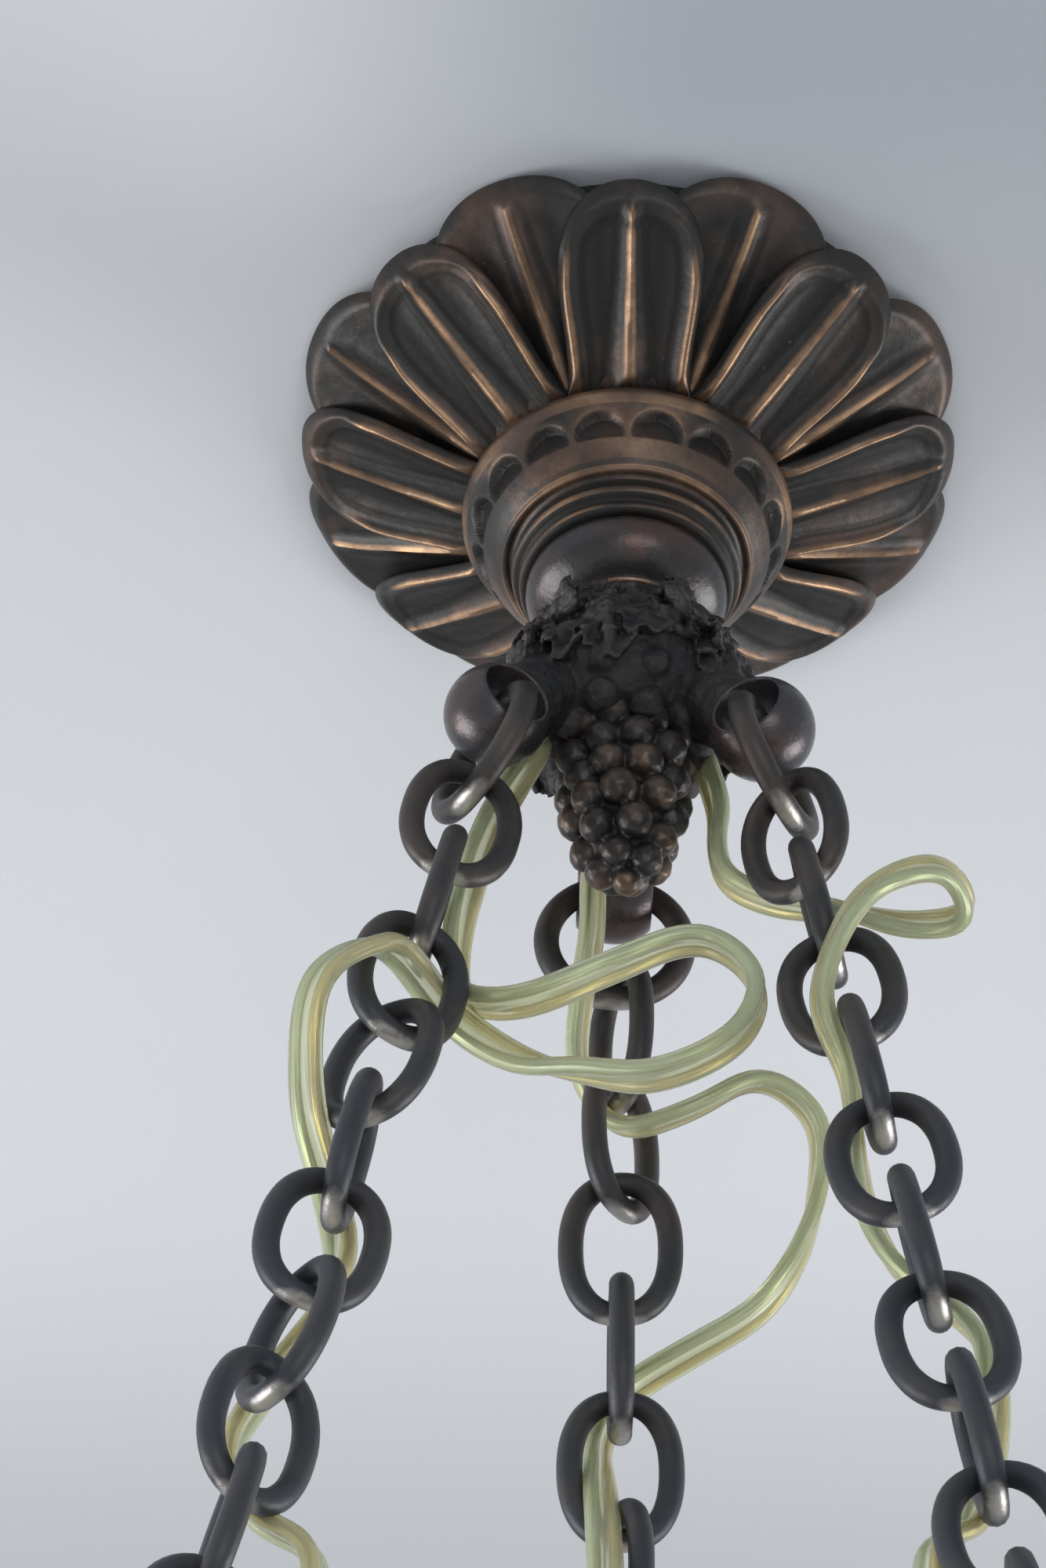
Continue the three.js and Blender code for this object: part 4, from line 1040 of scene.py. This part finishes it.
bowl_line = dish_curve(bowl_radius, dish, dish_angles)
groove_marks = [(0.5, 0), (1.3, 1.8), (2.6, 1.8), (3.4, 0.4), (5.2, 0), (7, 0.4), (7.8, 1.6)]
groove_marks += [(8.6, 1.6), (9.4, 0), (28.5, 0), (29.2, 1.5), (30.4, 1.9), (31.6, 1.5)]
groove_marks += [(32.3, 0), (35.2, 0), (36.8, 0.5), (37.7, 1.6), (38, 3)]
for height, depth in groove_marks:
    bowl_line.append((bowl_radius - depth * mm, bowl_rim - band + height * mm))
bowl_line += [(bowl_inside + 1.6 * mm, bowl_rim), (bowl_inside + 0.4 * mm, bowl_rim - 0.6 * mm)]
bowl_line += [(bowl_inside, bowl_rim - 2 * mm)]
bowl_line += dish_curve(bowl_inside, dish_inside, reversed(dish_angles))
bowl_bm = bmesh.new()
turned(bowl_bm, bowl_line, 144)
holes = bmesh.new()
for angle in hook_angles.values():
    centre = laid_out(angle, hook_level) @ Matrix.Translation((0, 0, hole_middle))
    size = {"segments": 24, "radius1": bolt_hole, "radius2": bolt_hole, "depth": hole_length}
    bmesh.ops.create_cone(holes, cap_ends=True, matrix=centre, **size)
bowl_bm = cut_out(bowl_bm, holes)
piece("bowl_of_alabaster", bowl_bm, "bowl", alabaster, ["alabaster_bowl"], 35)


# Eye bolts: forged bronze eyes with a collar and a threaded shank, one through the bowl's
# wall at each chain.

eye_wire, eye_ring, eye_place = 6 * mm, 16 * mm, 149.27 * mm
bolt_line = [(0, 158.6), (3.4, 158.6), (5.2, 159.3), (6, 159.9), (6, 161.7), (5.6, 162.2)]
bolt_line += [(3, 162.2), (3, 164.5)]
bolt_turns, bolt_pitch = 34, 0.5
for turn in range(bolt_turns):
    bolt_line += [(3, 164.7 + bolt_pitch * turn), (2.72, 164.95 + bolt_pitch * turn)]
bolt_line += [(2.6, 181.9), (0, 182)]
for side, angle in hook_angles.items():
    eye_bm = bmesh.new()
    turned(eye_bm, in_mm(bolt_line), 28, laid_out(angle, hook_level))
    eye_middle = Matrix.Rotation(math.radians(angle), 4, "Z")
    eye_middle = eye_middle @ Matrix.Translation((eye_place, 0, hook_level))
    oval_wire(eye_bm, eye_ring / 2, eye_ring / 2, 2, eye_wire, 56, 18, eye_middle)
    piece(f"bolt_{side}", eye_bm, "bowl", bronze, [f"eye_bolt_{side}"], 50)


# Rosette nuts: cast bronze rosettes with eight lobes and a domed middle, screwed on the
# bolts outside the bowl.

nut_line = [(3.3, 174.8), (8.3, 174.8), (8.9, 175.1), (8.9, 176), (8.4, 176.6), (6.9, 176.9)]
nut_line += [(5.9, 177.6), (5.6, 178.4), (5.7, 179.2), (5.3, 180.8), (4.2, 182.1), (2.4, 183)]
nut_line += [(0, 183.4), (0, 182.3), (3.3, 182.3), (3.3, 174.8)]
for side, angle in hook_angles.items():
    nut_bm = bmesh.new()
    worn = nut_bm.verts.layers.float.new("wear")
    nut = turned(nut_bm, in_mm(nut_line), 96)
    for vert in nut:
        radius = math.hypot(vert.co.x, vert.co.y)
        if radius > 6 * mm:
            lobe = 0.5 - 0.5 * math.cos(8 * math.atan2(vert.co.y, vert.co.x))
            vert.co.xy *= 1 - 0.11 * lobe
            vert[worn] = 0.28 - 0.3 * lobe
        elif vert.co.z > 181 * mm:
            vert[worn] = 0.2
    bmesh.ops.transform(nut_bm, matrix=laid_out(angle, hook_level), verts=nut)
    piece(f"nut_{side}", nut_bm, "bowl", bronze, [f"rosette_nut_{side}"], 40)


# Lamp spider: three flat arms sawn from bronze strip, bent up into lugs that the bolts go
# through. It keeps its plain shape.

dress(bronze, "lamp_spider")


# Lamp cluster: a turned cap above the spider and a turned body below it, which carries the
# three lampholders.

cap_line = [(0, 0.3), (19.6, 0.3), (20, 0.7), (20, 2.4), (19.3, 3), (19.1, 4.6), (18.4, 7.4)]
cap_line += [(16.4, 10.4), (13.1, 12.8), (8.4, 14.4), (3.2, 15), (0, 15)]
body_line = [(0, -34.6), (3.6, -34.5), (7.4, -34), (10.4, -32.8), (14.6, -31.9), (18.4, -31.3)]
body_line += [(20, -29.6), (20, -5.4), (19.5, -4.9), (20, -4.4), (20, -3), (19.8, -2.8)]
body_line += [(7.7, -2.8), (7.7, 0), (0, 0)]


def turned_piece(name, line, steps, where, finish, nodes, sharp=40):
    """A piece of the bowl's body that is one turned shape."""
    bm = bmesh.new()
    turned(bm, line, steps, where)
    piece(name, bm, "bowl", finish, nodes, sharp)


for name, line, node in (
    ("cluster_dome", cap_line, "cluster_cap"),
    ("cluster_drum", body_line, "cluster_body"),
):
    turned_piece(name, in_mm(line, arm_top), 72, Matrix(), bronze, [node], 35)


# Lampholders: three glazed porcelain sockets that lie flat round the cluster body, open
# outwards, with two turned grooves.

lamp_level = -766.56 * mm
lamp_angles = (268, 28, 148)
socket_line = [(0, 20.3), (8.6, 20.3), (9.1, 20.8), (12.2, 24.9), (13, 26.6), (13, 33), (12.4, 33.6)]
socket_line += [(12.4, 34.8), (13, 35.4), (13, 38), (12.4, 38.6), (12.4, 39.8), (13, 40.4)]
socket_line += [(13, 57.2), (12.4, 58.1), (8.4, 58.3), (7.75, 57.6), (7.7, 33.4), (0, 33.4)]
for number, angle in enumerate(lamp_angles, 1):
    where, node = laid_out(angle, lamp_level), f"lampholder_{number}"
    turned_piece(f"socket_{number}", in_mm(socket_line), 64, where, porcelain, [node])


# Bulbs: three round opal glass lamps, each with a threaded brass cap screwed into its
# lampholder.

globe_radius, globe_centre = 22.5 * mm, 85.1 * mm
thread_line = [(0, 33.7), (4, 33.7), (5.6, 35.4), (6.6, 36.2)]
cap_turns, cap_pitch = 8, 2.2
for turn in range(cap_turns):
    thread_line += [(6.95, 36.9 + cap_pitch * turn), (6.3, 38 + cap_pitch * turn)]
thread_line += [(6.9, 54.6), (6.9, 57.6), (0, 57.6)]
neck_start = [(0, 57.7), (6.7, 57.7), (7, 58.4), (7.7, 60.6), (8.6, 62.6), (10.2, 64.8)]

w = material("opal_glass")
cloud = w.noise(45.0).between(0.35, 0.7)
opal = w.surface(
    Base_Color=cloud.mix((0.86, 0.85, 0.81), (0.79, 0.78, 0.74)),
    Subsurface_Weight=0.4,
    Subsurface_Radius=(0.006, 0.006, 0.006),
    Subsurface_Scale=1.0,
    Roughness=0.1 + 0.1 * cloud,
    Normal=w.bump(w.noise(90.0, 2.0), 0.05 * mm),
)
globe_line = in_mm(neck_start)
for step in range(26):
    turn = math.pi * (0.85 - 0.85 * step / 25)
    along = globe_centre + globe_radius * math.cos(turn)
    if along > 66 * mm:
        globe_line.append((globe_radius * math.sin(turn), along))
for number, angle in enumerate(lamp_angles, 1):
    where, node = laid_out(angle, lamp_level), f"bulb_{number}"
    turned_piece(f"globe_{number}", globe_line, 56, where, opal, [node], 50)
    turned_piece(f"bulb_cap_{number}", in_mm(thread_line), 40, where, brass, ())


# Ceiling and floor: a ceiling just above the strap, which only shows from below, with painted
# light and a painted shadow in its paint, and a plain pale floor far under the bowl.


def sheet_of_colour(name, size, level, finish, faces_down=False):
    bm = bmesh.new()
    bmesh.ops.create_grid(bm, x_segments=1, y_segments=1, size=size / 2)
    if faces_down:
        bmesh.ops.reverse_faces(bm, faces=bm.faces)
    mesh = mesh_of(name, bm)
    mesh.transform(Matrix.Translation((0, 0, level)))
    mesh.materials.append(finish)
    linked(name, mesh)


def one_sided(w, paint):
    """A matt paint that only shows from the front, so that the stage never hides the part."""
    front = w.node("BsdfDiffuse", {}, {"Color": paint})
    clear = w.node("BsdfTransparent")
    behind = w.node("NewGeometry", output="Backfacing")
    shader = w.node("MixShader", {}, {0: behind, 1: front, 2: clear})
    w.node("OutputMaterial", {}, {"Surface": shader})
    return w.owner


w = material("ceiling_paint_with_painted_light")
across = w.axis("X")
away = w.axis("Y")
# Painted light: the ceiling gets lighter away from the camera, then darker again far off, as the light
# falls across it.
paint = away.between(-0.05, 0.2).mix((0.71, 0.728, 0.76), (0.785, 0.8, 0.835))
# Painted shadow: a darker patch on the ceiling beside the rose, towards the camera and to the right.
shade = away.between(0.02, -0.1) * across.between(-0.1, 0.02)
paint = shade.mix(paint, (0.42, 0.452, 0.492))
ceiling_paint_with_painted_light = one_sided(w, away.between(0.22, 0.4).mix(paint, (0.59, 0.605, 0.63)))

w = material("floor_paint")
floor_paint = one_sided(w, w.noise(3.0).mix((0.62, 0.62, 0.62), (0.66, 0.66, 0.65)))
ceiling_size, ceiling_level = 4, 0.4 * mm
floor_size, floor_level = 40, -2.2
sheet_of_colour("ceiling", ceiling_size, ceiling_level, ceiling_paint_with_painted_light, faces_down=True)
sheet_of_colour("floor", floor_size, floor_level, floor_paint)


# Light: soft daylight from windows on both sides and a little from the room in front.


def window(name, place, target, size, power):
    light = bpy.data.lights.new(name, "AREA")
    light.shape = "RECTANGLE"
    light.size, light.size_y = size
    light.energy = power
    made = linked(name, light)
    made.location = place
    made.rotation_mode = "QUATERNION"
    made.rotation_quaternion = (Vector(target) - Vector(place)).to_track_quat("-Z", "Y")


window("window_left", (-2.2, 0.3, -1.0), (0, 0, -0.15), (1.2, 1.6), 34)
window("window_right", (2.0, 0.9, -0.9), (0, 0, -0.15), (0.9, 1.4), 26)
window("window_front", (0.6, -2.4, -1.3), (0, 0, -0.2), (1.6, 1.2), 12)
world = bpy.data.worlds.new("room")
bpy.context.scene.world = world
sky = wired(world)
seen = sky.node("LightPath", output="Is Camera Ray")
air = seen.mix((0.5, 0.52, 0.55), (0.66, 0.68, 0.71))
shade = sky.node("Background", {}, {"Color": air, "Strength": 1.0})
sky.node("OutputWorld", {}, {"Surface": shade})


# Camera: stands below and in front of the pendant and looks up at the rose through a long
# lens.

standpoint = Vector((-4.36, -776.5, -1002.4)) * mm
climb, swing, tilt = (math.radians(angle) for angle in (48.81, -1.18, 1.68))
level_share = math.cos(climb)
ahead = Vector((math.sin(swing) * level_share, math.cos(swing) * level_share, math.sin(climb)))
level = Vector((math.cos(swing), -math.sin(swing), 0))
above = level.cross(ahead)
right = level * math.cos(tilt) + above * math.sin(tilt)
above = above * math.cos(tilt) - level * math.sin(tilt)
lens = bpy.data.cameras.new("camera")
lens.lens, lens.sensor_width, lens.sensor_fit = 135, 36, "AUTO"
lens.clip_start, lens.clip_end = 0.05, 100
camera = linked("camera", lens)
axes = Matrix((right, above, -ahead)).transposed()
camera.matrix_world = Matrix.Translation(standpoint) @ axes.to_4x4()
bpy.context.scene.camera = camera
bpy.context.scene.view_settings.view_transform = "Standard"
